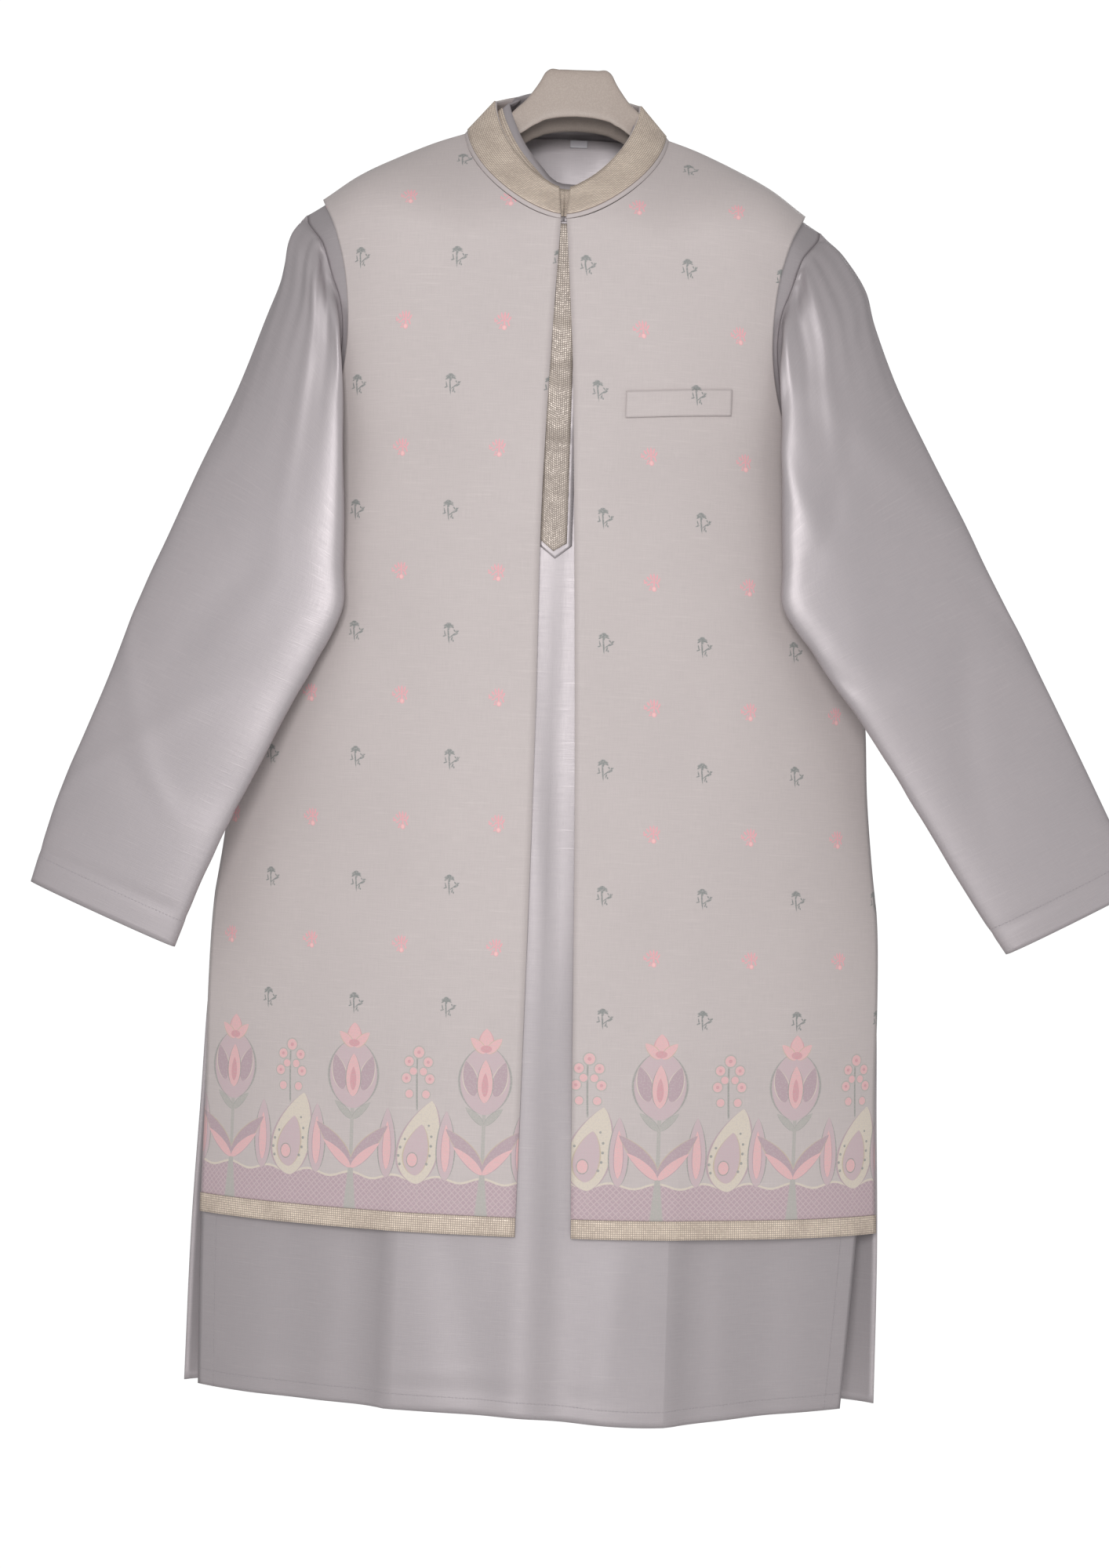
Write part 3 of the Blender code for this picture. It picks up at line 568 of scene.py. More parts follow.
# %% Grid to mesh
def lengths(grid):
    """Return metres of cloth across and down: summed steps from the middle column."""
    step = np.linalg.norm(np.diff(grid, axis=1), axis=2)
    across = np.concatenate([np.zeros((len(grid), 1)), np.cumsum(step, axis=1)], axis=1)
    across = across - across[:, [grid.shape[1] // 2]]
    fall = np.linalg.norm(np.diff(grid, axis=0), axis=2).mean(axis=1)
    down = np.concatenate([[0], np.cumsum(fall)])[:, None] + 0 * across
    return across * MM, -down * MM


def grid_piece(name, grid, material, node, thick=0.9, closed=False, uv=None, extra=None,
               outward=(0, -1, 0), rests_on=("hanger",), shift=GARMENT_X):
    """Make a cloth piece from a grid in millimetres, and hand it to the frame.

    Faces are quads between neighbouring rows and columns; closed joins the last
    column to the first. The grid is flipped if its normals point against outward.
    """
    r, c = grid.shape[:2]
    middle = grid.reshape(-1, 3).mean(axis=0)
    n = np.cross(np.diff(grid, axis=0)[:, :-1], np.diff(grid, axis=1)[:-1])
    facing = (n * (grid[:-1, :-1] - middle)).sum() if closed else (n @ np.array(outward)).sum()
    index = np.arange(r * c).reshape(r, c)
    if closed:
        index = np.concatenate([index, index[:, :1]], axis=1)
    quads = np.stack([index[:-1, :-1], index[1:, :-1], index[1:, 1:], index[:-1, 1:]], axis=-1)
    corner = np.arange(index.size).reshape(index.shape)
    around = np.stack([corner[:-1, :-1], corner[1:, :-1], corner[1:, 1:], corner[:-1, 1:]], axis=-1)
    if facing < 0:
        quads, around = quads[..., ::-1], around[..., ::-1]
    quads, around = quads.reshape(-1, 4), around.reshape(-1, 4)
    mesh = bpy.data.meshes.new(name)
    points = (grid.reshape(-1, 3) + [shift, 0, 0]) * MM
    mesh.from_pydata(points.tolist(), [], quads.tolist())
    full = np.concatenate([grid, grid[:, :1]], axis=1) if closed else grid
    layers = {"cloth": lengths(full) if uv is None else uv, **(extra or {})}
    for layer, (u, v) in layers.items():
        pair = np.stack([u.ravel()[around.ravel()], v.ravel()[around.ravel()]], axis=-1)
        mesh.uv_layers.new(name=layer).data.foreach_set("uv", pair.astype(np.float32).ravel())
    mesh.shade_smooth()
    mesh.materials.append(material)
    made = bpy.data.objects.new(name, mesh)
    scene.collection.objects.link(made)
    if thick:
        solid = made.modifiers.new("thickness", "SOLIDIFY")
        solid.thickness, solid.offset = thick * MM, 0.0
    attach(made, "root")
    if node:
        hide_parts(node)
    print("%-24s %6d quads" % (name, len(quads)))
    return made


# %% [markdown]
# ## The kurta's silk
# It is a plain-woven silk blend with a satin face: fine level threads, here and there a
# thicker one (a slub), and a soft gloss that runs with the folds. A photographed
# swatch would repeat and slide, so the threads are noise stretched along the weave: long
# and thin across for the weft, shorter and fainter down for the warp. The same noise
# moves the colour, the roughness and the bump, as one thread does in real cloth.


# %% Woven silk
def threads(paint, cloth, weft=1.0, warp=0.6):
    """Return thread height around 0: level noise streaks plus upright ones."""
    stretch = paint.node("ShaderNodeMapping", {}, {"Vector": cloth, "Scale": (60, 1500, 1)})
    slub = paint.node("ShaderNodeMapping", {}, {"Vector": cloth, "Scale": (22, 520, 1)})
    upright = paint.node("ShaderNodeMapping", {}, {"Vector": cloth, "Scale": (1300, 70, 1)})
    level = paint.noise(stretch, 1.0) - 0.5
    thick = paint.noise(slub, 1.0, 3.0).fade(0.56, 0.78)
    return level * weft + thick * 0.45 * weft + (paint.noise(upright, 1.0) - 0.5) * warp


def silk(name, light, dark, rough, sheen, weft=1.0, warp=0.6, drift=0.5, spots=None, **constant):
    """Return a woven silk: colour between dark and light by its threads and patches."""
    paint = Paint(name, Sheen_Weight=sheen, Sheen_Roughness=0.4, **constant)
    cloth = paint.place()
    thread = threads(paint, cloth, weft, warp)
    patch = paint.noise(cloth, 9.0, 3.0) - 0.5
    share = thread * 0.55 + patch * drift + 0.5
    colour = paint.mix(share.least(1.0).most(0.0), dark, light)
    height = thread * 0.3
    if spots:
        colour, height = spots(paint, colour, height)
    bump = paint.node("ShaderNodeBump", {},
                      {"Strength": 0.32, "Distance": 0.0006, "Height": height})
    return paint.finish({"Base Color": colour, "Roughness": rough - thread * 0.12,
                         "Normal": bump})


KURTA_SILK = silk("kurta silk", tone(176, 168, 170), tone(157, 151, 154), 0.44, 0.0,
                  Specular_IOR_Level=0.45, Metallic=0.32)
print("silk nodes:", len(KURTA_SILK.node_tree.nodes))

# %% Kurta front and back
kurta_half = column_set(0, 26, 36)
kurta_columns = np.concatenate([-kurta_half[:0:-1], kurta_half])
kurta_front = panel(0, "front", kurta_columns,
                    (slit_of(KURTA_SLIT, "right"), slit_of(KURTA_SLIT, "left")), 200,
                    KURTA_RIDGES, lambda c: 8 * np.exp(-((c - 0.34) / 0.3) ** 2))
grid_piece("kurta_front_cloth", kurta_front, KURTA_SILK, "kurta_front",
           uv=panel_map(kurta_front, 0, "front"))
kurta_back = panel(0, "back", kurta_columns, (closed_side, closed_side), 150, BACK_RIDGES)
grid_piece("kurta_back_cloth", kurta_back, KURTA_SILK, "kurta_back",
           outward=(0, 1, 0), uv=panel_map(kurta_back, 0, "back"))

# %% [markdown]
# ## Sleeves
# A kurta's sleeve is a tube, wide at the armhole, that narrows to a plain cuff. Hung up,
# it falls forward and flat, with its underarm seam on the inner edge. Rings from the
# armhole to the cuff carry the tube: the first ring is the armhole's own cut, and the
# later ones are flattened ovals. Few rings give the form, and a Catmull-Rom curve
# through them gives the fine grid that the gathers and folds need.


# %% Sleeve rings
def keep_clear(ring, sign, t):
    """Move a ring's points clear of the jacket: its front half forward, the rest aside."""
    down = -ring[:, 2]
    x = ring[:, 0] - skew(down)
    across = np.abs(x)
    width = curve(BODY, "width", down) + LAYER
    under = JACKET_ARMHOLE["down"][-1]
    cut = curve(JACKET_ARMHOLE, "across", np.clip(down, 119, under))
    inside = (x * sign > 0) & ((down > under - 8) | (across < cut + 4)) & (t < 0.7)
    limit = body_depth(np.minimum(across, width) * sign, down, 1, "front") - 3.4
    limit = limit + np.clip(across - width, 0, 60) * 2.0
    ring[:, 1] = np.where(inside, np.minimum(ring[:, 1], limit), ring[:, 1])
    beside = (t >= 0.7) & (down > 322)
    least = width + 3.4 - 24 * (1 - ease((down - 322) / 22))
    ring[:, 0] = np.where(beside, sign * np.maximum(across, least) + skew(down), ring[:, 0])
    return ring


def sleeve_rings(table, sign, front_edge, back_edge):
    """Return the sleeve's rings: armhole cut, a step out from it, then flattened ovals.

    An oval is its middle, plus cosine times half its long axis, plus sine times its
    half thickness. Its share "own" against the armhole's shape grows from 0.14 to 1.
    The step out is bell curves around the ring: peak at the top, fore at the front and
    under at the underarm.
    """
    count = 30
    t = np.arange(count) / count
    around = np.interp(t, [0, 0.5, 0.68, 1], [0, 0.311, 0.5, 1])
    down = 234 - 101 * np.cos(2 * np.pi * around)
    x, y = [np.where(around <= 0.5, np.interp(down, -front_edge[:, 2], front_edge[:, k]),
                     np.interp(down, -back_edge[:, 2], back_edge[:, k])) for k in (0, 1)]
    y = np.where(np.abs(y) < 0.3, 0.0, y)
    lift = np.radians(0.8 * np.clip(down - 235, 0, 100))
    first = np.stack([x + sign * 0.3 * np.cos(lift), y, -down + 0.3 * np.sin(lift)], axis=-1)
    fore = np.exp(-((t - 0.45) / 0.14) ** 2)
    under = np.exp(-((t - 0.745) / 0.04) ** 2)
    peak = np.exp(-(((t + 0.5) % 1 - 0.5) / 0.09) ** 2)
    start = first + np.stack([sign * (7 - 4 * fore + 9 * under - 2 * peak), -7 * fore,
                              -2 + 3 * fore - 3.5 * peak], axis=-1)
    for _ in range(3):
        mean = (np.roll(start, 1, 0) + np.roll(start, -1, 0)) / 2
        start = start + np.exp(-((t - 0.71) / 0.07) ** 2)[:, None] * (mean - start) * 0.3
    rings = [first, start]
    c, s = np.cos(2 * np.pi * t), np.sin(2 * np.pi * t)
    names = "outer outer_down inner inner_down outer_y inner_y half own".split()
    for o, od, i, idn, oy, iy, half, own in zip(*[table[k] for k in names]):
        top, low = np.array([sign * o, oy, -od]), np.array([sign * i, iy, -idn])
        u = (top - low) / 2
        thin = np.array([0.0, -half, 0.0])
        thin = thin - u * (thin @ u) / (u @ u)
        round_s = np.sign(s) * np.abs(s) ** 0.8
        ring = (1 - own) * start + own * ((top + low) / 2 + c[:, None] * u
                                          + round_s[:, None] * thin)
        ring = ring + (top - ring[0]) * (1 + c[:, None]) / 2
        ring = ring + (low - ring[count // 2]) * (1 - c[:, None]) / 2
        ring[:, 1] -= np.exp(-((t - 0.6) / 0.09) ** 2) * 16 * np.exp(-((own - 0.2) / 0.35) ** 2)
        ring[:, 0] += (sign * 30 * np.exp(-((t - 0.74) / 0.16) ** 2)
                       * np.exp(-((own - 0.25) / 0.25) ** 2))
        rings.append(keep_clear(ring, sign, t))
    rings = np.array(rings)
    behind = np.exp(-((t - 0.76) / 0.13) ** 2)[None, :, None]
    for _ in range(6):
        mean = ((rings[:-2] + rings[2:]) / 4
                + (np.roll(rings, 1, 1) + np.roll(rings, -1, 1))[1:-1] / 4)
        rings[2:8] += (behind * (mean - rings[1:-1]))[1:7]
        for k in range(2, 8):
            rings[k] = keep_clear(rings[k], sign, t)
    return rings


# %% Catmull-Rom refinement
def refined(grid, parts, axis, closed=False):
    """Return a grid with each step cut into parts, on a Catmull-Rom curve.

    Between points b and c, with a before and d after, the curve at t is half of
    2b + (c - a)t + (2a - 5b + 4c - d)t squared + (3b - a - 3c + d)t cubed.
    """
    g = np.moveaxis(grid, axis, 0)
    n = len(g)
    ends = (g[-1:], g[:2]) if closed else (2 * g[:1] - g[1:2], 2 * g[-1:] - g[-2:-1])
    padded = np.concatenate([ends[0], g, ends[1]])
    at = np.arange(n * parts) / parts if closed else np.linspace(0, n - 1, (n - 1) * parts + 1)
    i = np.minimum(at.astype(int), n - 1 if closed else n - 2)
    t = (at - i).reshape(-1, *[1] * (g.ndim - 1))
    a, b, c, d = (padded[i + k] for k in range(4))
    out = 0.5 * (2 * b + (c - a) * t + (2 * a - 5 * b + 4 * c - d) * t**2
                 + (3 * b - a - 3 * c + d) * t**3)
    return np.moveaxis(out, 0, axis)


def normals(grid, closed=False):
    """Return unit normals: the cross product of the steps down and across."""
    across = (np.roll(grid, -1, axis=1) - np.roll(grid, 1, axis=1) if closed
              else np.gradient(grid, axis=1))
    n = np.cross(np.gradient(grid, axis=0), across)
    return n / np.maximum(np.linalg.norm(n, axis=2, keepdims=True), 1e-9)


# %% Gathers, pulls and puckers of a sleeve
# Long folds from the cap: place around, half width, height, lean, share of the length
SATIN_FOLDS = ((0.10, 0.020, 2.6, 0.05, 0.30), (0.17, 0.016, -2.4, 0.06, 0.28),
               (0.235, 0.020, 3.0, 0.10, 0.34), (0.30, 0.016, -2.2, 0.08, 0.26),
               (0.36, 0.020, 2.4, 0.06, 0.22))


def sleeve_folds(grid, seed):
    """Return a height for each point of a sleeve.

    v runs from 0 at the armhole to 1 at the cuff, t once around from the outer fold.
    Gathers are upright ridges at the cap that die within a tenth of the sleeve, satin
    folds run on from them for a third of it, pulls are slanting ridges, and puckers are
    short ripples along the inner seam at t 0.5.
    """
    r, c = grid.shape[:2]
    v, t = np.meshgrid(np.linspace(0, 1, r), np.arange(c) / c, indexing="ij")
    spin = np.random.default_rng(seed)
    total = 0.5 * waver(t * 380, v * 640, seed, 150) * ease(v / 0.06)
    rise = ease(v / 0.03)
    for k in range(10):
        at, wide = spin.uniform(0.05, 0.34), spin.uniform(0.006, 0.012)
        total += (spin.uniform(0.5, 1.3) * rise * np.exp(-((t - at) / wide) ** 2)
                  * np.exp(-(v / spin.uniform(0.04, 0.09)) ** 2))
    for at, wide, high, lean, long in SATIN_FOLDS:
        total += (high * ease((v - 0.02) / 0.08) * np.exp(-((t - at - lean * v) / wide) ** 2)
                  * np.exp(-(v / long) ** 4))
    for k in range(9):
        at, middle = spin.uniform(0.05, 0.45), spin.uniform(0.12, 0.9)
        lean, long = spin.uniform(-1.3, 1.3), spin.uniform(0.05, 0.13)
        along = v - middle
        total += (spin.uniform(-1.0, 1.2) * np.exp(-((t - at - lean * along) / 0.035) ** 2)
                  * np.exp(-(along / long) ** 4))
    seam = np.exp(-((t - 0.5) / 0.02) ** 2)
    beat = np.sin(v * 640 / 9.0 + 2 * np.sin(v * 23)) * (0.6 + 0.4 * np.sin(v * 57))
    total += 0.45 * seam * beat * ease((v - 0.4) / 0.1)
    hem = np.exp(-((v - 0.963) / 0.006) ** 2)
    return total * (1 - 0.6 * ease((v - 0.95) / 0.05)) - 0.5 * hem


sleeves = {}
for side, table, sign, column in (("right", RIGHT_SLEEVE, -1, 0), ("left", LEFT_SLEEVE, 1, -1)):
    rings = sleeve_rings(table, sign, kurta_front[:, column], kurta_back[:, column])
    fine = refined(refined(rings, 12, 0), 4, 1, closed=True)
    out = normals(fine, True)
    if (out * (fine - fine.mean(axis=1, keepdims=True))).sum() < 0:
        out = -out
    sleeves[side] = fine + out * sleeve_folds(fine, 11 + sign)[..., None]
    grid_piece("kurta_sleeve_%s_cloth" % side, sleeves[side], KURTA_SILK,
               "kurta_sleeve_" + side, closed=True, rests_on=["hanger"])

# %% [markdown]
# ## The jacket's silk and its sprigs
# The jacket's cloth is a matt slubbed silk with small woven sprigs, grey-green and pink
# in turn, set as a half-drop: each colour stands between the rows of the other. A
# picture of the cloth could be laid on, but a drawing made of ellipses stays sharp at
# any size. A second UV map counts the sprigs, so that a whole number is the middle of
# one, and the shader draws a sprig around each whole number.


# %% Ellipses as strokes and petals
def blob(paint, p, at, size, turn=0.0):
    """Return 1 at an ellipse's edge and 0 at its middle.

    A Mapping node of type Texture moves the ellipse to the origin, turns it back and
    divides by its radii, and the length of what is left is the distance.
    """
    near = paint.node("ShaderNodeMapping", {"vector_type": "TEXTURE"},
                      {"Vector": p, "Location": (*at, 0), "Rotation": (0, 0, np.radians(turn)),
                       "Scale": (*size, 1)})
    return paint.node("ShaderNodeVectorMath", {"operation": "LENGTH"}, {0: near}, 1)


def inside(field, soft=0.12):
    """Return 1 inside a field's edge and 0 outside, with a soft step."""
    return field.fade(1 + soft, 1 - soft)


def blobs(paint, p, table):
    """Return the union of a table's ellipses, as their smallest distance."""
    total = None
    for x, y, w, h, turn in table:
        one = blob(paint, p, (x, y), (w, h), turn)
        total = one if total is None else total.least(one)
    return total


# Sprigs in millimetres from their middle: x, y, half width, half height, turn
GREY_SPRIG = ((-0.8, 5.2, 3.2, 1.6, 0), (-0.8, 6.6, 1.7, 1.1, 0), (-3.0, 3.9, 1.5, 0.6, 38),
              (1.6, 4.2, 1.4, 0.6, -34), (-0.8, 3.2, 0.7, 1.2, 0), (-1.0, -1.6, 0.55, 6.4, 3),
              (-3.4, -0.6, 0.45, 2.2, 10), (-3.6, -2.6, 1.4, 0.5, 24), (1.7, -2.2, 0.45, 3.2, -48),
              (3.9, -1.2, 1.9, 0.6, 30), (4.6, 0.6, 0.5, 1.3, -10), (3.2, 1.4, 0.5, 1.1, 28),
              (5.4, 1.0, 0.45, 1.0, -38), (1.2, -4.8, 0.5, 1.7, -18), (2.1, -6.2, 0.5, 0.9, 10))
PINK_SPRIG = ((1.5, -5.4, 2.1, 2.2, 0), (1.4, 2.6, 0.9, 5.0, 0), (-1.0, 4.4, 0.8, 2.8, 14),
              (3.8, 4.2, 0.8, 2.8, -14), (-3.4, 3.2, 0.8, 2.0, 36), (5.6, 2.0, 0.8, 2.2, -28),
              (-0.8, 0.2, 1.5, 0.8, 30), (3.8, -0.2, 1.5, 0.8, -30), (-5.6, -0.4, 1.6, 0.9, 16),
              (-6.6, 1.2, 0.6, 1.1, 0), (-3.2, -1.8, 1.8, 0.6, 22), (5.0, -2.6, 0.7, 1.8, 22),
              (-1.4, -3.8, 0.6, 1.5, -34), (1.4, -2.2, 0.9, 1.3, 0), (-2.0, -6.0, 1.2, 0.6, 20))


def sprig_cell(paint, u, v, du, dv, wide, tall):
    """Return millimetres from the nearest sprig's middle, as a vector."""
    x = ((u + (0.5 - du)).part() - 0.5) * wide
    y = ((v + (0.5 - dv)).part() - 0.5) * tall
    return paint.vector(x, y * -1.0)


# %% [markdown]
# ## The border
# Above the jacket's hem runs a woven border of the same pinks, mauves and sage greens.
# This one is a plain traditional row: a round flower on a stem, a paisley, and a slim
# bush between them, over a low band of small diamonds. Each is drawn about the middle
# line of its repeat. Where both sides are alike, the drawing reads the size of x, and
# one half gives the other.

# %% Leaf shape
def leaf(paint, p, at, size, turn=0.0, bend=0.0, point=1.0):
    """Return a field that is 1 on a pointed leaf's edge.

    With t from 0 at its foot to 1 at its tip, the half width is t to 0.6 times
    (1 - t) to the power point, and the leaf's line moves aside by bend times t squared.
    """
    near = paint.node("ShaderNodeMapping", {"vector_type": "TEXTURE"},
                      {"Vector": p, "Location": (*at, 0), "Rotation": (0, 0, np.radians(turn)),
                       "Scale": (*size, 1)})
    x, y = paint.axes(near)
    t = ((y + 1.0) * 0.5).most(0.0).least(1.0)
    half = (t ** 0.6) * ((1.0 - t) ** point) * 1.9
    return (x - t * t * bend).size() / (half + 0.001)


PINK, DEEP_PINK = tone(222, 170, 172), tone(203, 140, 148)
MAUVE, DEEP_MAUVE = tone(190, 166, 172), tone(168, 142, 152)
SAGE, DEEP_SAGE = tone(163, 162, 156), tone(134, 138, 132)
PALE_GOLD, GOLD = tone(209, 198, 181), tone(186, 168, 138)


def border(paint, colour, u, h):
    """Draw one row of plants on a colour; u counts repeats, h is mm above the tape."""
    repeat = 119.0
    x = (u.part() - 0.5) * repeat
    side = x.size()
    mirror = paint.vector(side, h)
    plain = paint.vector(x, h)
    other = ((u + 0.5).part() - 0.5) * repeat
    far = paint.vector(other, h)
    far_side = paint.vector(other.size(), h)

    def lay(field, fill, line=None, rim=0.1, soft=0.04):
        nonlocal colour
        if line is not None:
            colour = paint.mix(field.fade(1 + rim + soft, 1 + rim - soft), colour, line)
        colour = paint.mix(field.fade(1 + soft, 1 - soft), colour, fill)

    # Low band of diamonds, with a scalloped upper edge
    wave = (side / repeat * 2 * np.pi * 3).math("COSINE") * 2.2
    band = (h - wave).fade(29.0, 28.4)
    d1 = (((x + h) / 5.2).part() - 0.5).size()
    d2 = (((x - h) / 5.2).part() - 0.5).size()
    diamonds = d1.least(d2).fade(0.07, 0.12)
    colour = paint.mix(band, colour, paint.mix(diamonds, MAUVE, DEEP_MAUVE))
    edge = ((h - wave) - 28.6).size().fade(1.1, 0.7)
    colour = paint.mix(edge, colour, PALE_GOLD)
    # Paisley between the plants
    lay(leaf(paint, far, (-2, 58), (25, 34), 6, 0.75, 0.8), PALE_GOLD, DEEP_MAUVE, 0.1)
    lay(leaf(paint, far, (-2, 52), (15, 21), 6, 0.6, 0.8), MAUVE, GOLD, 0.1)
    lay(blob(paint, far, (-3, 44), (4.5, 5.5)), PINK, DEEP_SAGE, 0.16)
    dots = ((-14, 40, 1.2), (-15.5, 47, 1.2), (10, 41, 1.2), (12.5, 48, 1.2), (-14, 54, 1.2),
            (13.4, 56, 1.2), (13.6, 64, 1.1), (-10, 61, 1.1), (11, 73, 1))
    lay(blobs(paint, far, [(a, b, r, r, 0) for a, b, r in dots]), DEEP_SAGE)
    # Sprig of round blossoms above the paisley
    stem = (other + ((h - 85) / 30.0).math("SINE") * 1.4).size() / 0.8
    upright = h.fade(84.0, 88.0) * h.fade(134.0, 128.0)
    colour = paint.mix(inside(stem, 0.3) * upright, colour, DEEP_SAGE)
    heads = ((0, 134, 4.6), (8.5, 126, 4), (10.5, 112, 4), (4.5, 118, 3.2), (7.5, 99, 3.4))
    lay(blobs(paint, far_side, [(a, b, r, r, 0) for a, b, r in heads]), PINK, SAGE, 0.25)
    lay(blobs(paint, far_side, ((0, 134, 1.6, 1.6, 0), (8.5, 126, 1.4, 1.4, 0),
                                (10.5, 112, 1.4, 1.4, 0))), DEEP_PINK)
    # Slim bush
    bush = paint.vector((side - 33).size(), h)
    lay(leaf(paint, mirror, (33, 57), (10.5, 29), 0, 0.0, 0.8), MAUVE, DEEP_SAGE, 0.14)
    lay(leaf(paint, bush, (0, 55), (5, 20), 0, 0.0, 0.8), PINK, DEEP_MAUVE, 0.2)
    # Plant: stem, two pairs of leaves, round head and crown
    stalk = side / (1.6 + (40 - h).most(0.0) * 0.10)
    colour = paint.mix(inside(stalk, 0.2) * h.fade(96.0, 92.0), colour, SAGE)
    lay(leaf(paint, mirror, (15, 55), (9, 24), -38, 0.5, 0.9), DEEP_MAUVE, GOLD, 0.12)
    lay(leaf(paint, mirror, (12.5, 46), (5.5, 17), -46, 0.4, 0.9), PINK, DEEP_MAUVE, 0.16)
    lay(leaf(paint, mirror, (8, 83), (4, 11), -44, 0.4, 0.9), SAGE, DEEP_SAGE, 0.16)
    lay(leaf(paint, mirror, (0, 113), (27, 29), 0, 0.0, 0.62), MAUVE, DEEP_SAGE, 0.08)
    lay(leaf(paint, mirror, (13, 114), (8.5, 15), -14, 0.1, 0.8), DEEP_MAUVE, PALE_GOLD, 0.12)
    lay(leaf(paint, mirror, (0, 112), (9, 18), 0, 0.0, 0.8), PINK, DEEP_SAGE, 0.12)
    lay(leaf(paint, mirror, (0, 109), (4, 10), 0, 0.0, 0.8), DEEP_PINK)
    lay(leaf(paint, mirror, (0, 146), (8, 10), 0, 0.0, 0.8), PINK, DEEP_PINK, 0.16)
    lay(leaf(paint, mirror, (7, 142), (5, 9), -42, 0.2, 0.8), PINK, GOLD, 0.16)
    lay(blob(paint, plain, (0, 139), (5, 3)), DEEP_PINK)
    return colour


# %% Jacket cloth with sprigs and border
def sprigs(paint, colour, height):
    """Draw grey and pink sprigs, then the border, on the jacket's cloth."""
    u, v = paint.axes(paint.place("sprigs"))
    h = paint.axes(paint.place("hem"))[1] * 1000.0
    above = h.fade(143.0, 146.0)
    worn = paint.noise(paint.place(), 700.0, 2.0).fade(0.38, 0.52)
    grey = sprig_cell(paint, u, v, 0.0, 0.0, 66.0, 96.0)
    mark = inside(blobs(paint, grey, GREY_SPRIG), 0.25) * above
    colour = paint.mix(mark * (worn * 0.35 + 0.6), colour, tone(128, 131, 129))
    pink = sprig_cell(paint, u, v, 0.478, 0.5, 83.0, 105.0)
    body = inside(blobs(paint, pink, PINK_SPRIG), 0.2) * above
    colour = paint.mix(body * (worn * 0.35 + 0.6), colour, tone(222, 158, 165))
    core = inside(blob(paint, pink, (1.4, -5.4), (1.3, 1.6)), 0.3) * above
    colour = paint.mix(core * 0.7, colour, tone(232, 190, 186))
    drawn = border(paint, colour, paint.axes(paint.place("hem"))[0], h)
    colour = paint.mix(h.fade(159.0, 157.0) * (worn * 0.25 + 0.5), colour, drawn)
    return colour, height + mark * 0.25 + body * 0.25


JACKET_LIGHT, JACKET_DARK = tone(195, 185, 183), tone(175, 166, 165)
JACKET_SILK = silk("jacket silk", JACKET_LIGHT, JACKET_DARK, 0.62, 0.12, 1.1, 0.8, 0.35, sprigs)
JACKET_PLAIN = silk("jacket silk plain", JACKET_LIGHT, JACKET_DARK, 0.62, 0.12, 1.1, 0.8, 0.35)
print("jacket silk nodes:", len(JACKET_SILK.node_tree.nodes))

# %% Sprig count and border maps
# One column of sprigs on each front, and the cloth between columns, at each row of sprigs
SPRIG_COLUMNS = {
    "right": rows("down across step row",
                  (178, -92, 86, 0), (285, -94, 84, 1), (391, -92, 83, 2), (494, -88, 83, 3),
                  (600, -83.5, 82, 4), (705, -80, 80.5, 5), (807, -79, 79.5, 6)),
    "left": rows("down across step row",
                 (182, 16, 86, 0), (287, 30, 84, 1), (394, 38, 84, 2), (498.5, 42, 84, 3),
                 (604.5, 45, 84.5, 4), (710, 48, 85, 5), (812, 52, 85, 6))}


def sprig_map(grid, side, face="front"):
    """Return the sprig count across and down at each point of a jacket piece.

    Across, it is the length of cloth from the named column's line over the step.
    Down, rows are read at the height that the cloth would have if it hung straight.
    """
    table, straight = SPRIG_COLUMNS[side], straight_down(grid)
    down = -grid[:, :, 2]
    line = np.interp(straight, table["down"], table["across"]) - skew(straight)
    across = (arc_across(grid[:, :, 0] - skew(down), down, 1, face)
              - arc_across(line, down, 1, face))
    wide = np.interp(straight, table["down"], table["step"])
    extra = (straight - np.clip(straight, table["down"][0], table["down"][-1])) / 105.0
    return across / wide, np.interp(straight, table["down"], table["row"]) + extra


def hem_map(grid, u, start=0.0):
    """Return border repeats across, from the sprig count, and metres above the tape."""
    rise = np.cumsum(np.linalg.norm(np.diff(grid, axis=0), axis=2)[::-1], axis=0)[::-1]
    rise = np.concatenate([rise, np.zeros((1, grid.shape[1]))])
    return u / 1.42 + start, (rise - HEM_TAPE) * MM


# %% [markdown]
# ## Jacket fronts and back
# The fronts hang open and nearly straight from the collar, with the right front's edge
# leaning a little out towards the hem. Each front is a panel of its own, from its front
# edge to the side seam, on the same body as the kurta and five millimetres outside it.


# %% Jacket pieces
def jacket_front(sign, side):
    """Return one front: a panel's half, its first columns moved to the front edge."""
    share = column_set(1, 24, 40)
    slit = slit_of(JACKET_SLIT, side)
    whole = panel(1, "front", share * sign, (slit, slit), 190, JACKET_RIDGES)
    down = -whole[:, :, 2]
    inner = whole[:, :, 0] - skew(down)
    edge = curve(JACKET_OPENING, side, np.clip(down, 143, 992)) - skew(down)
    x = inner + edge * np.clip(1 - np.abs(inner) / 70, 0, 1)
    y = body_depth(x, down, 1, "front", JACKET_RIDGES)
    y = -np.maximum(np.abs(y), 0.2)
    y = np.where(np.isclose(share, 1.0)[None, :], whole[:, :, 1], y)
    return np.stack([x + skew(down), y, -down], axis=-1)


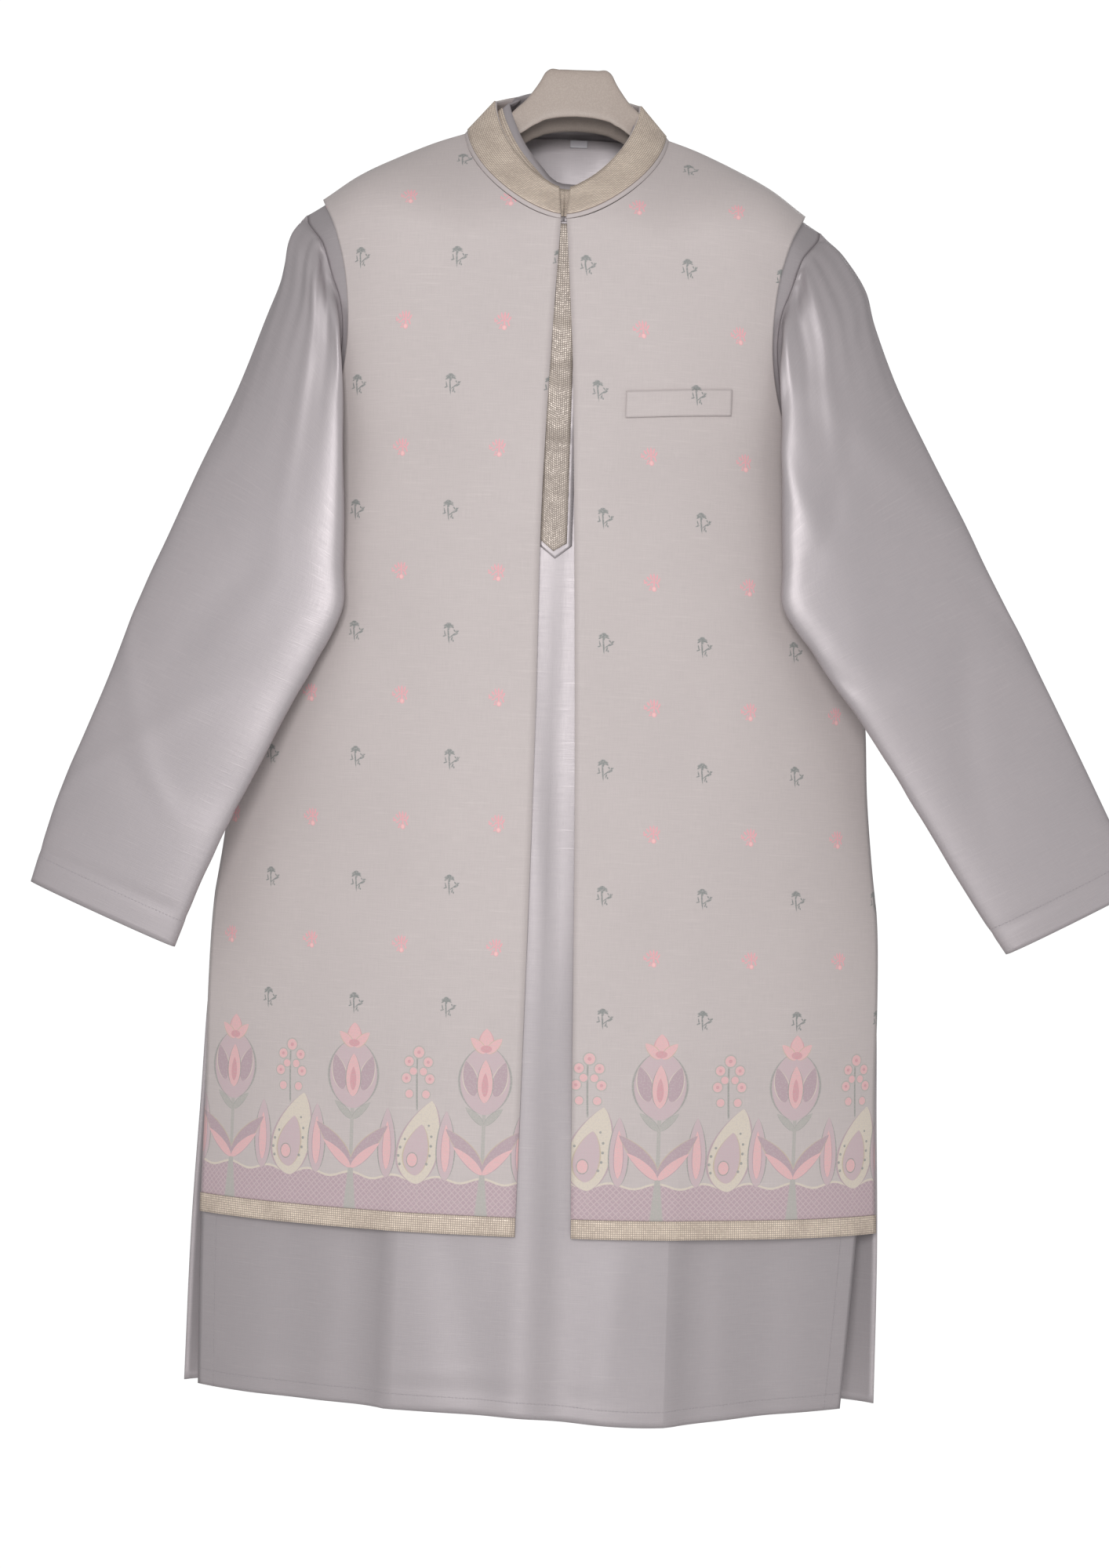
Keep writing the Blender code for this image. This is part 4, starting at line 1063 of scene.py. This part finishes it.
jacket = {}
for sign, side, start in ((-1, "right", 0.20), (1, "left", 0.09)):
    grid = jacket_front(sign, side)
    jacket[side] = grid
    count = sprig_map(grid, side)
    grid_piece("jacket_front_%s_cloth" % side, grid, JACKET_SILK, "jacket_front_" + side,
               uv=panel_map(grid, 1, "front"),
               extra={"sprigs": count, "hem": hem_map(grid, count[0], start)})
back_half = column_set(1, 24, 40)
back = panel(1, "back", np.concatenate([-back_half[:0:-1], back_half]),
             (slit_of(JACKET_SLIT, "right"), slit_of(JACKET_SLIT, "left")), 150, BACK_RIDGES)
jacket["back"] = back
count = sprig_map(back, "right", "back")
grid_piece("jacket_back_cloth", back, JACKET_SILK, "jacket_back",
           outward=(0, 1, 0), uv=panel_map(back, 1, "back"),
           extra={"sprigs": count, "hem": hem_map(back, count[0])})

# %% [markdown]
# ## Gold tape
# Collars, placket and hem carry a woven tape: rows of tiny raised squares of a flat
# metallic thread on a beige ground. The squares are drawn in the tape's own UV map,
# with a round-edged bump each, and their gloss and warmth vary from square to square
# as flat thread does when it twists.


# %% Tape material
def tape(name, dark, light, pitch=1.85):
    """Return a tape of small squares, one for each pitch in millimetres."""
    paint = Paint(name, Metallic=0.15)
    cloth = paint.place()
    u, v = paint.axes(cloth)
    across, down = u * (1000 / pitch), v * (1000 / pitch)
    a, b = (across.part() - 0.5).size(), (down.part() - 0.5).size()
    square = a.most(b).fade(0.46, 0.30)
    cell = paint.vector(across.math("FLOOR"), down.math("FLOOR"))
    chance = paint.node("ShaderNodeTexWhiteNoise", {"noise_dimensions": "2D"}, {"Vector": cell})
    patch = paint.noise(cloth, 40.0, 2.0)
    bright = square * (0.55 + chance * 0.25 + (patch - 0.5) * 0.9)
    colour = paint.mix(bright.least(1.0).most(0.0), dark, light)
    bump = paint.node("ShaderNodeBump", {}, {"Strength": 0.6, "Distance": 0.0004, "Height": square})
    return paint.finish({"Base Color": colour, "Roughness": 0.5 - chance * 0.16, "Normal": bump})


TAPE = tape("gold tape", tone(160, 144, 133), tone(240, 224, 206))
# The placket's tape is the gold tape in darker colours: painted shade, for the placket lies in shade
# between the jacket's fronts.
SHADED_PLACKET_TAPE = tape("placket tape with painted shade", tone(132, 121, 114), tone(200, 187, 175))


def moved_out(grid, distance, outward):
    """Return a grid moved along its normals, towards the side that outward names."""
    n = normals(grid)
    if np.sum(n * np.asarray(outward)) < 0:
        n = -n
    return grid + n * distance


def hem_strip(grid, height, distance, outward, rows_up=6):
    """Return the lowest part of a piece as a strip of its own, moved out."""
    rise = np.cumsum(np.linalg.norm(np.diff(grid, axis=0), axis=2)[::-1], axis=0)[::-1]
    rise = np.concatenate([rise, np.zeros((1, grid.shape[1]))])
    lie = moved_out(grid, distance, outward)
    want = np.linspace(height, 0, rows_up)
    cols = [np.stack([np.interp(want, rise[::-1, j], lie[::-1, j, k]) for k in range(3)], axis=-1)
            for j in range(grid.shape[1])]
    return np.stack(cols, axis=1)


for side, outward in (("right", (0, -1, 0)), ("left", (0, -1, 0)), ("back", (0, 1, 0))):
    strip = hem_strip(jacket[side], HEM_TAPE, 1.1, outward)
    grid_piece("jacket_hem_%s_tape" % side, strip, TAPE, "jacket_hem_tape_" + side,
               thick=0.7, outward=outward, rests_on=["jacket_%s_cloth" % (
                   "back" if side == "back" else "front_" + side)])


# %% [markdown]
# ## Collars
# Both collars are low stand-up bands cut to the neckline. The jacket's shows its tape
# almost to the seam, and the kurta's stands inside it, a little higher, with a margin of
# plain cloth above its tape. A band is a grid from the neckline up along a slanting
# line that leans in towards the neck.


# %% Band collars
KURTA_ABOVE = (3.0, 7.5, -1.0)    # above the jacket's collar: behind, right and left
KURTA_LEAN = 5.0


def collar_curves(layer, t):
    """Return a collar's lower edge and its slant up to the top edge, t from -1 to 1.

    t is 0 at the back. The lower edge is the neckline, walked by angle; the top edge
    is the lower one drawn in to 0.705 of its width and depth.
    """
    angle = np.pi * t
    half = NECK_HALF[layer]
    behind = np.abs(t) < 0.5
    part = np.where(behind, np.abs(np.sin(angle)), np.abs(np.sin(angle)) ** (2 / NECK_POWER))
    x = half * part * np.sign(t)
    at = half * np.sin(np.linspace(0, np.pi / 2, 60))
    front, rear = front_neck_down(at, layer), back_neck_down(at, layer)
    down = np.where(behind, np.interp(np.abs(x), at, rear), np.interp(np.abs(x), at, front))
    y = np.where(behind, np.interp(np.abs(x), at, body_depth(at, rear, layer, "back")),
                 np.interp(np.abs(x), at, body_depth(at, front, layer, "front")))
    side = shoulder_down(half, layer)
    rise = np.where(behind, (side - down) / (side - BACK_NECK[layer]),
                    (down - side) / (FRONT_NECK[layer] - side))
    top_down = 28.0 + np.where(behind, 9.5 - 28.0, 112.5 - 28.0) * rise
    near = np.clip(1 - np.abs(x) / 22, 0, 1) * (np.abs(t) > 0.5)
    bottom = np.stack([x, y, -down], axis=-1)
    top = np.stack([0.705 * x + np.sign(t) * 3.5 * near, 0.705 * y, -top_down], axis=-1)
    return bottom, top - bottom


def collar(layer, low, high, ends, count=150, steps=9):
    """Return a collar's middle surface, low above its seam and high below its top.

    The kurta's collar follows the jacket's slant. Its ends meet at the front, it leans
    in on the wearer's right, and it stands higher than the jacket's by KURTA_ABOVE.
    """
    reach = np.linspace(-1, 1, count)
    t = np.sign(reach) * np.abs(reach) ** 0.9 * ends
    bottom, slant = collar_curves(layer, t)
    if layer == 0:
        slant = collar_curves(1, t)[1]
        near = np.clip(1 - np.abs(bottom[:, 0]) / 22, 0, 1) * (np.abs(t) > 0.5)
        aside = KURTA_LEAN * ease((-bottom[:, 0] - 8) / 40) * (np.abs(t) > 0.3)
        slant = slant + np.stack([aside - np.sign(t) * 4.2 * near, 0 * t, 0 * t], axis=-1)
    long = np.linalg.norm(slant, axis=1, keepdims=True)
    behind, right, left = KURTA_ABOVE
    beside = np.where(t < 0, right, (right - left) * np.exp(-(bottom[:, 0] / 18) ** 2) + left)
    extra = behind + (beside - behind) * ease((np.abs(t) - 0.4) / 0.25)
    tall = long + (0.0 if layer else extra[:, None]) - high
    rise = np.linspace(0, 1, steps)[:, None, None]
    return bottom + slant / long * (low + rise * (tall - low)) + np.array([TOP_SKEW, 0, 0])


def radial(grid):
    """Return normals that point away from the neck."""
    n = normals(grid)
    return n if np.sum(n * grid * np.array([1.0, 1.0, 0.0])) > 0 else -n


for layer, owner, paint, tape_low, tape_high, ends in (
        (0, "kurta", KURTA_SILK, 5.0, 7.5, 0.9975), (1, "jacket", JACKET_PLAIN, 4.4, 0.5, 0.985)):
    band = collar(layer, 0.4, 0.0, ends)
    grid_piece(owner + "_collar_band", band, paint, owner + "_collar",
               thick=1.9, outward=(0, -1, 0.3), rests_on=["hanger"])
    lie = collar(layer, tape_low, tape_high, ends - 0.001)
    lie = lie + radial(lie) * 1.5
    grid_piece(owner + "_collar_gold", lie, TAPE, owner + "_collar_tape",
               thick=0.7, outward=(0, -1, 0.3), rests_on=[owner + "_collar_band"])


# %% [markdown]
# ## Placket, pocket and label
# The kurta opens down the chest under a placket: a straight strip with a gold tape on
# it and a pointed end. The jacket's left front has a narrow welt over its pocket slit,
# and a small woven label, left blank, is sewn inside the kurta's neck. Each is a
# strip laid on the cloth below it, moved out by the layers between.


# %% Strips on the fronts
def strip_on(layer, sides, tops, lows, distance, folds, across=9, steps=120):
    """Return a strip between two sides and two slanting ends, moved out from a front."""
    s = np.linspace(0, 1, across)[None, :]
    t = np.linspace(0, 1, steps)[:, None]
    x = sides[0] + (sides[1] - sides[0]) * s + 0 * t
    top = tops[0] + (tops[1] - tops[0]) * s
    low = np.interp(s[0], np.linspace(0, 1, len(lows)), lows)[None, :]
    down = top + (low - top) * t
    y = body_depth(x - skew(down), down, layer, "front", folds)
    return moved_out(np.stack([x, y, -down], axis=-1), distance, (0, -1, 0))


placket = strip_on(0, (-16.5, 11.5), (147.2, 147.2), (418, 429, 418), 1.2, KURTA_RIDGES)
grid_piece("kurta_placket_cloth", placket, KURTA_SILK, "kurta_placket",
           rests_on=["kurta_front_cloth"])
# The placket's tape takes the darker tape, whose colours are painted shade.
placket_tape = strip_on(0, (-15.0, 7.0), (147.2, 147.2), (414, 423, 416), 2.1, KURTA_RIDGES)
grid_piece("kurta_placket_gold", placket_tape, SHADED_PLACKET_TAPE, "kurta_placket_tape",
           thick=0.7, rests_on=["kurta_placket_cloth"])
welt = strip_on(1, (52.5, 141.5), (287.0, 280.5), (309.2, 302.2), 1.7, JACKET_RIDGES, 40, 12)
grid_piece("jacket_pocket_strip", welt, JACKET_SILK, "jacket_pocket_welt",
           thick=1.1, rests_on=["jacket_front_left_cloth"],
           extra={"sprigs": sprig_map(welt, "left"),
                  "hem": (0 * welt[..., 0], 0 * welt[..., 0] + 0.7)})

LABEL = silk("label cloth", tone(206, 202, 206), tone(188, 184, 190), 0.4, 0.2, 0.6, 0.5)
gx, gd = np.meshgrid(np.linspace(-2, 13.5, 16), np.linspace(47.4, 54, 8))
label = moved_out(np.stack([gx, body_depth(gx, gd, 0, "back"), -gd], axis=-1), 1.8, (0, -1, 0))
grid_piece("kurta_neck_tab", label, LABEL, "kurta_neck_label", thick=0.6)

# %% [markdown]
# ## Hanger
# The hanger is moulded in one piece: a smooth neck with a flat top that swells into two
# broad shoulders, and a shallow arch below. Its sections are squared ovals whose
# height and depth follow a table from the middle out. Fine speckles and a faint
# orange-peel bump give it the look of moulded plastic.

# %% Hanger sections
HANGER = rows("across top bottom depth",
              (0, 0, 46, 17), (16, 0, 47.2, 16.7), (26, 0.6, 49.2, 16), (29.5, 4, 50.2, 15.7),
              (32, 9, 51.5, 15.4), (38, 18.5, 54, 14.6), (45, 27.5, 58.5, 13.7),
              (52, 34, 62.5, 12.8), (60, 42, 69, 12.2), (74, 57, 82, 11.6), (88, 71, 93, 11.6),
              (115, 83, 106, 13), (145, 95, 121, 16), (175, 110.5, 136, 15), (194, 123, 145, 11),
              (202, 130, 143, 6))


def hanger_sections(stations=110, count=64):
    """Return the hanger's rings from one end to the other.

    A ring is the middle height plus half the height times a squared cosine, and the
    depth times a squared sine, narrowed by a seventh towards its top edge. Under the
    arch, a rim table adds a lip in front, a groove behind it and a back wall below it.
    """
    reach = np.linspace(-1, 1, 2 * stations + 1)
    x = np.sign(reach) * 202 * np.abs(reach) ** 1.35
    top, bottom, deep = (curve(HANGER, k, np.abs(x), "across")[:, None]
                         for k in ("top", "bottom", "depth"))
    a = np.arange(count) / count * 2 * np.pi
    power = (0.36 + 0.45 * ease((np.abs(x) - 50) / 40))[:, None]
    ca = np.sign(np.cos(a)) * np.abs(np.cos(a)) ** power
    sa = np.sign(np.sin(a)) * np.abs(np.sin(a)) ** power
    half = (bottom - top) / 2
    y = deep * (1 - 0.14 * (ca + 1) * np.clip(half / 23, 0, 1)) * sa
    under = np.clip(-ca * 4 - 3, 0, 1) * np.clip(1 - (np.abs(x) - 60) / 30, 0, 1)[:, None]
    rim = np.interp(y / deep, [-1, -0.93, -0.78, 0.0, 0.8, 1], [0, 0, 4.0, 4.5, -5.0, -4.0])
    return np.stack([x[:, None] + 0 * y, y, -(top + bottom) / 2 + half * ca + under * rim], axis=-1)


def moulded_plastic():
    """Return a taupe satin plastic with speckles and a faint uneven skin."""
    paint = Paint("hanger plastic", Coat_Weight=0.0, Specular_IOR_Level=0.4)
    where = paint.node("ShaderNodeTexCoord", {}, {}, 3)
    speckle = paint.noise(where, 900.0, 2.0).fade(0.44, 0.62)
    patch = paint.noise(where, 14.0, 3.0)
    colour = paint.mix(speckle * 0.35 + patch * 0.5, tone(160, 147, 139), tone(180, 167, 158))
    bump = paint.node("ShaderNodeBump", {}, {"Strength": 0.12, "Distance": 0.0005,
                                             "Height": paint.noise(where, 420.0, 2.0)})
    return paint.finish({"Base Color": colour, "Roughness": patch * 0.2 + 0.36, "Normal": bump})


rings = hanger_sections()
grid_piece("hanger_moulding", rings, moulded_plastic(), "hanger",
           thick=0, closed=True, shift=0.0)
print("hanger rings:", len(rings))

# %% [markdown]
# ## Stitches
# Hems, slits, cuffs and the placket are top-stitched with a matching thread. A line
# of stitches could be a bump, but real ones catch the light singly. Each is a short
# five-sided spindle that rises and dips at its ends, and all those of one seam are
# made as a single mesh.


# %% Stitch lines
def walk(line, pitch):
    """Return points along a line at equal steps, and the unit direction at each."""
    step = np.linalg.norm(np.diff(line, axis=0), axis=1)
    run = np.concatenate([[0], np.cumsum(step)])
    at = np.arange(pitch / 2, run[-1], pitch)
    place = np.stack([np.interp(at, run, line[:, k]) for k in range(3)], axis=-1)
    ahead = np.stack([np.interp(at + 0.5, run, line[:, k]) for k in range(3)], axis=-1)
    behind = np.stack([np.interp(at - 0.5, run, line[:, k]) for k in range(3)], axis=-1)
    way = ahead - behind
    return place, way / np.linalg.norm(way, axis=1, keepdims=True)


def stitches(name, lines, material, owner, pitch=3.0, long=2.2, thick=0.24):
    """Make stitches along lines, each given with its outward direction.

    A stitch is five rings along its length; a ring's radius is the thickness times
    the square root of one minus the squared place along it, and its middle bows out.
    """
    s = np.linspace(-1, 1, 5)
    around = np.arange(5) / 5 * 2 * np.pi
    radius = thick * np.sqrt(np.maximum(1 - s**2, 0.06))
    points = []
    for line, outward in lines:
        place, way = walk(np.asarray(line), pitch)
        up = np.asarray(outward, float) - way * (way @ np.asarray(outward, float))[:, None]
        up = up / np.linalg.norm(up, axis=1, keepdims=True)
        aside = np.cross(way, up)
        middle = (place[:, None] + way[:, None] * (s * long / 2)[None, :, None]
                  + up[:, None] * (0.30 * (1 - s**2))[None, :, None])
        ring = (np.cos(around)[None, None, :, None] * up[:, None, None]
                + np.sin(around)[None, None, :, None] * aside[:, None, None])
        points.append(middle[:, :, None] + ring * radius[None, :, None, None])
    points = np.concatenate(points)
    n = len(points)
    index = np.arange(25).reshape(5, 5)
    wrap = np.concatenate([index, index[:, :1]], axis=1)
    quad = np.stack([wrap[:-1, :-1], wrap[:-1, 1:], wrap[1:, 1:], wrap[1:, :-1]], -1).reshape(-1, 4)
    shift = (np.arange(n) * 25)[:, None, None]
    faces = (quad[None] + shift).reshape(-1, 4).tolist()
    caps = np.stack([index[0][::-1], index[-1]])
    faces += (caps[None] + shift).reshape(-1, 5).tolist()
    mesh = bpy.data.meshes.new(name)
    mesh.from_pydata(((points.reshape(-1, 3) + [GARMENT_X, 0, 0]) * MM).tolist(), [], faces)
    mesh.shade_smooth()
    mesh.materials.append(material)
    made = bpy.data.objects.new(name, mesh)
    scene.collection.objects.link(made)
    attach(made, "root")
    print("%-24s %6d stitches" % (name, n))
    return made


def row_above(grid, height, distance, outward):
    """Return the line that runs a height above a piece's hem, moved out."""
    return hem_strip(grid, height, distance, outward, 2)[0]


def thread_paint(name, colour):
    """Return a thread whose colour is darker in fine noise patches: painted shade of its plies."""
    paint = Paint(name, Sheen_Weight=0.2)
    where = paint.node("ShaderNodeTexCoord", {}, {}, 3)
    twist_shade = paint.noise(where, 2600.0, 1.0)
    # Painted shade: where the noise is low, the thread's colour falls to 0.72 of itself.
    dark = tuple(0.72 * c for c in colour)
    return paint.finish({"Base Color": paint.mix(twist_shade, dark, colour),
                         "Roughness": 0.45 + twist_shade * 0.1})


def slit_line(grid, sign, inset, start):
    """Return the line that runs beside a slit, an inset in from the panel's edge."""
    low = grid[-grid[:, 0, 2] > start]
    want = low[:, -1 if sign > 0 else 0, 0] - sign * inset
    line = [[np.interp(x, row[:, 0], row[:, k]) for k in range(3)] for x, row in zip(want, low)]
    return np.array(line) + [0, -0.55, 0]


KURTA_THREAD = thread_paint("kurta thread", tone(176, 170, 174))
HEM_FOLD, SLIT_FOLD, CUFF_FOLD = 13, 14, 24     # stitch line to edge
front_out, back_out = (0, -1, 0), (0, 1, 0)
slits = [(slit_line(kurta_front, sign, SLIT_FOLD, 775), front_out) for sign in (-1, 1)]
stitches("kurta_hem_stitches", [*slits, (row_above(kurta_front, HEM_FOLD, 0.5, front_out), front_out),
                                (row_above(kurta_back, HEM_FOLD, 0.5, back_out), back_out)],
         KURTA_THREAD, "kurta_front_cloth")
cuffs = []
for side in ("right", "left"):
    tube = np.concatenate([sleeves[side], sleeves[side][:, :1]], axis=1)
    rise = np.cumsum(np.linalg.norm(np.diff(tube, axis=0), axis=2)[::-1], axis=0)[::-1]
    row = int(np.argmin(np.abs(rise[:, 30] - CUFF_FOLD)))
    ring = tube[row]
    half = len(ring) // 2
    cuffs += [(ring[:half + 1] + [0, -0.55, 0], front_out), (ring[half:] + [0, 0.55, 0], back_out)]
stitches("kurta_cuff_stitches", cuffs, KURTA_THREAD, "sleeves", 3.2, 2.3)
edge_left = placket[:, 0] + [1.0, -0.6, 0]
edge_right = placket[:, -1] + [-1.0, -0.6, 0]
stitches("kurta_placket_stitches", [(edge_left, front_out), (edge_right, front_out)],
         KURTA_THREAD, "kurta_placket_cloth", 2.6, 1.9, 0.2)

# %% [markdown]
# ## Floor and last steps
# The floor is a plain pale plane under the set.

# %% Floor and finish
floor_mesh = bpy.data.meshes.new("floor")
LOW = -2.0                      # metres below the top of the hanger
corners = [(-1.6, -1.8, LOW), (1.6, -1.8, LOW), (1.6, 1.4, LOW), (-1.6, 1.4, LOW)]
floor_mesh.from_pydata(corners, [], [(0, 1, 2, 3)])
floor = bpy.data.objects.new("floor", floor_mesh)
floor_paint = Paint("pale floor", Roughness=0.8)
floor_mesh.materials.append(floor_paint.finish({"Base Color": (0.86, 0.86, 0.86)}))
scene.collection.objects.link(floor)
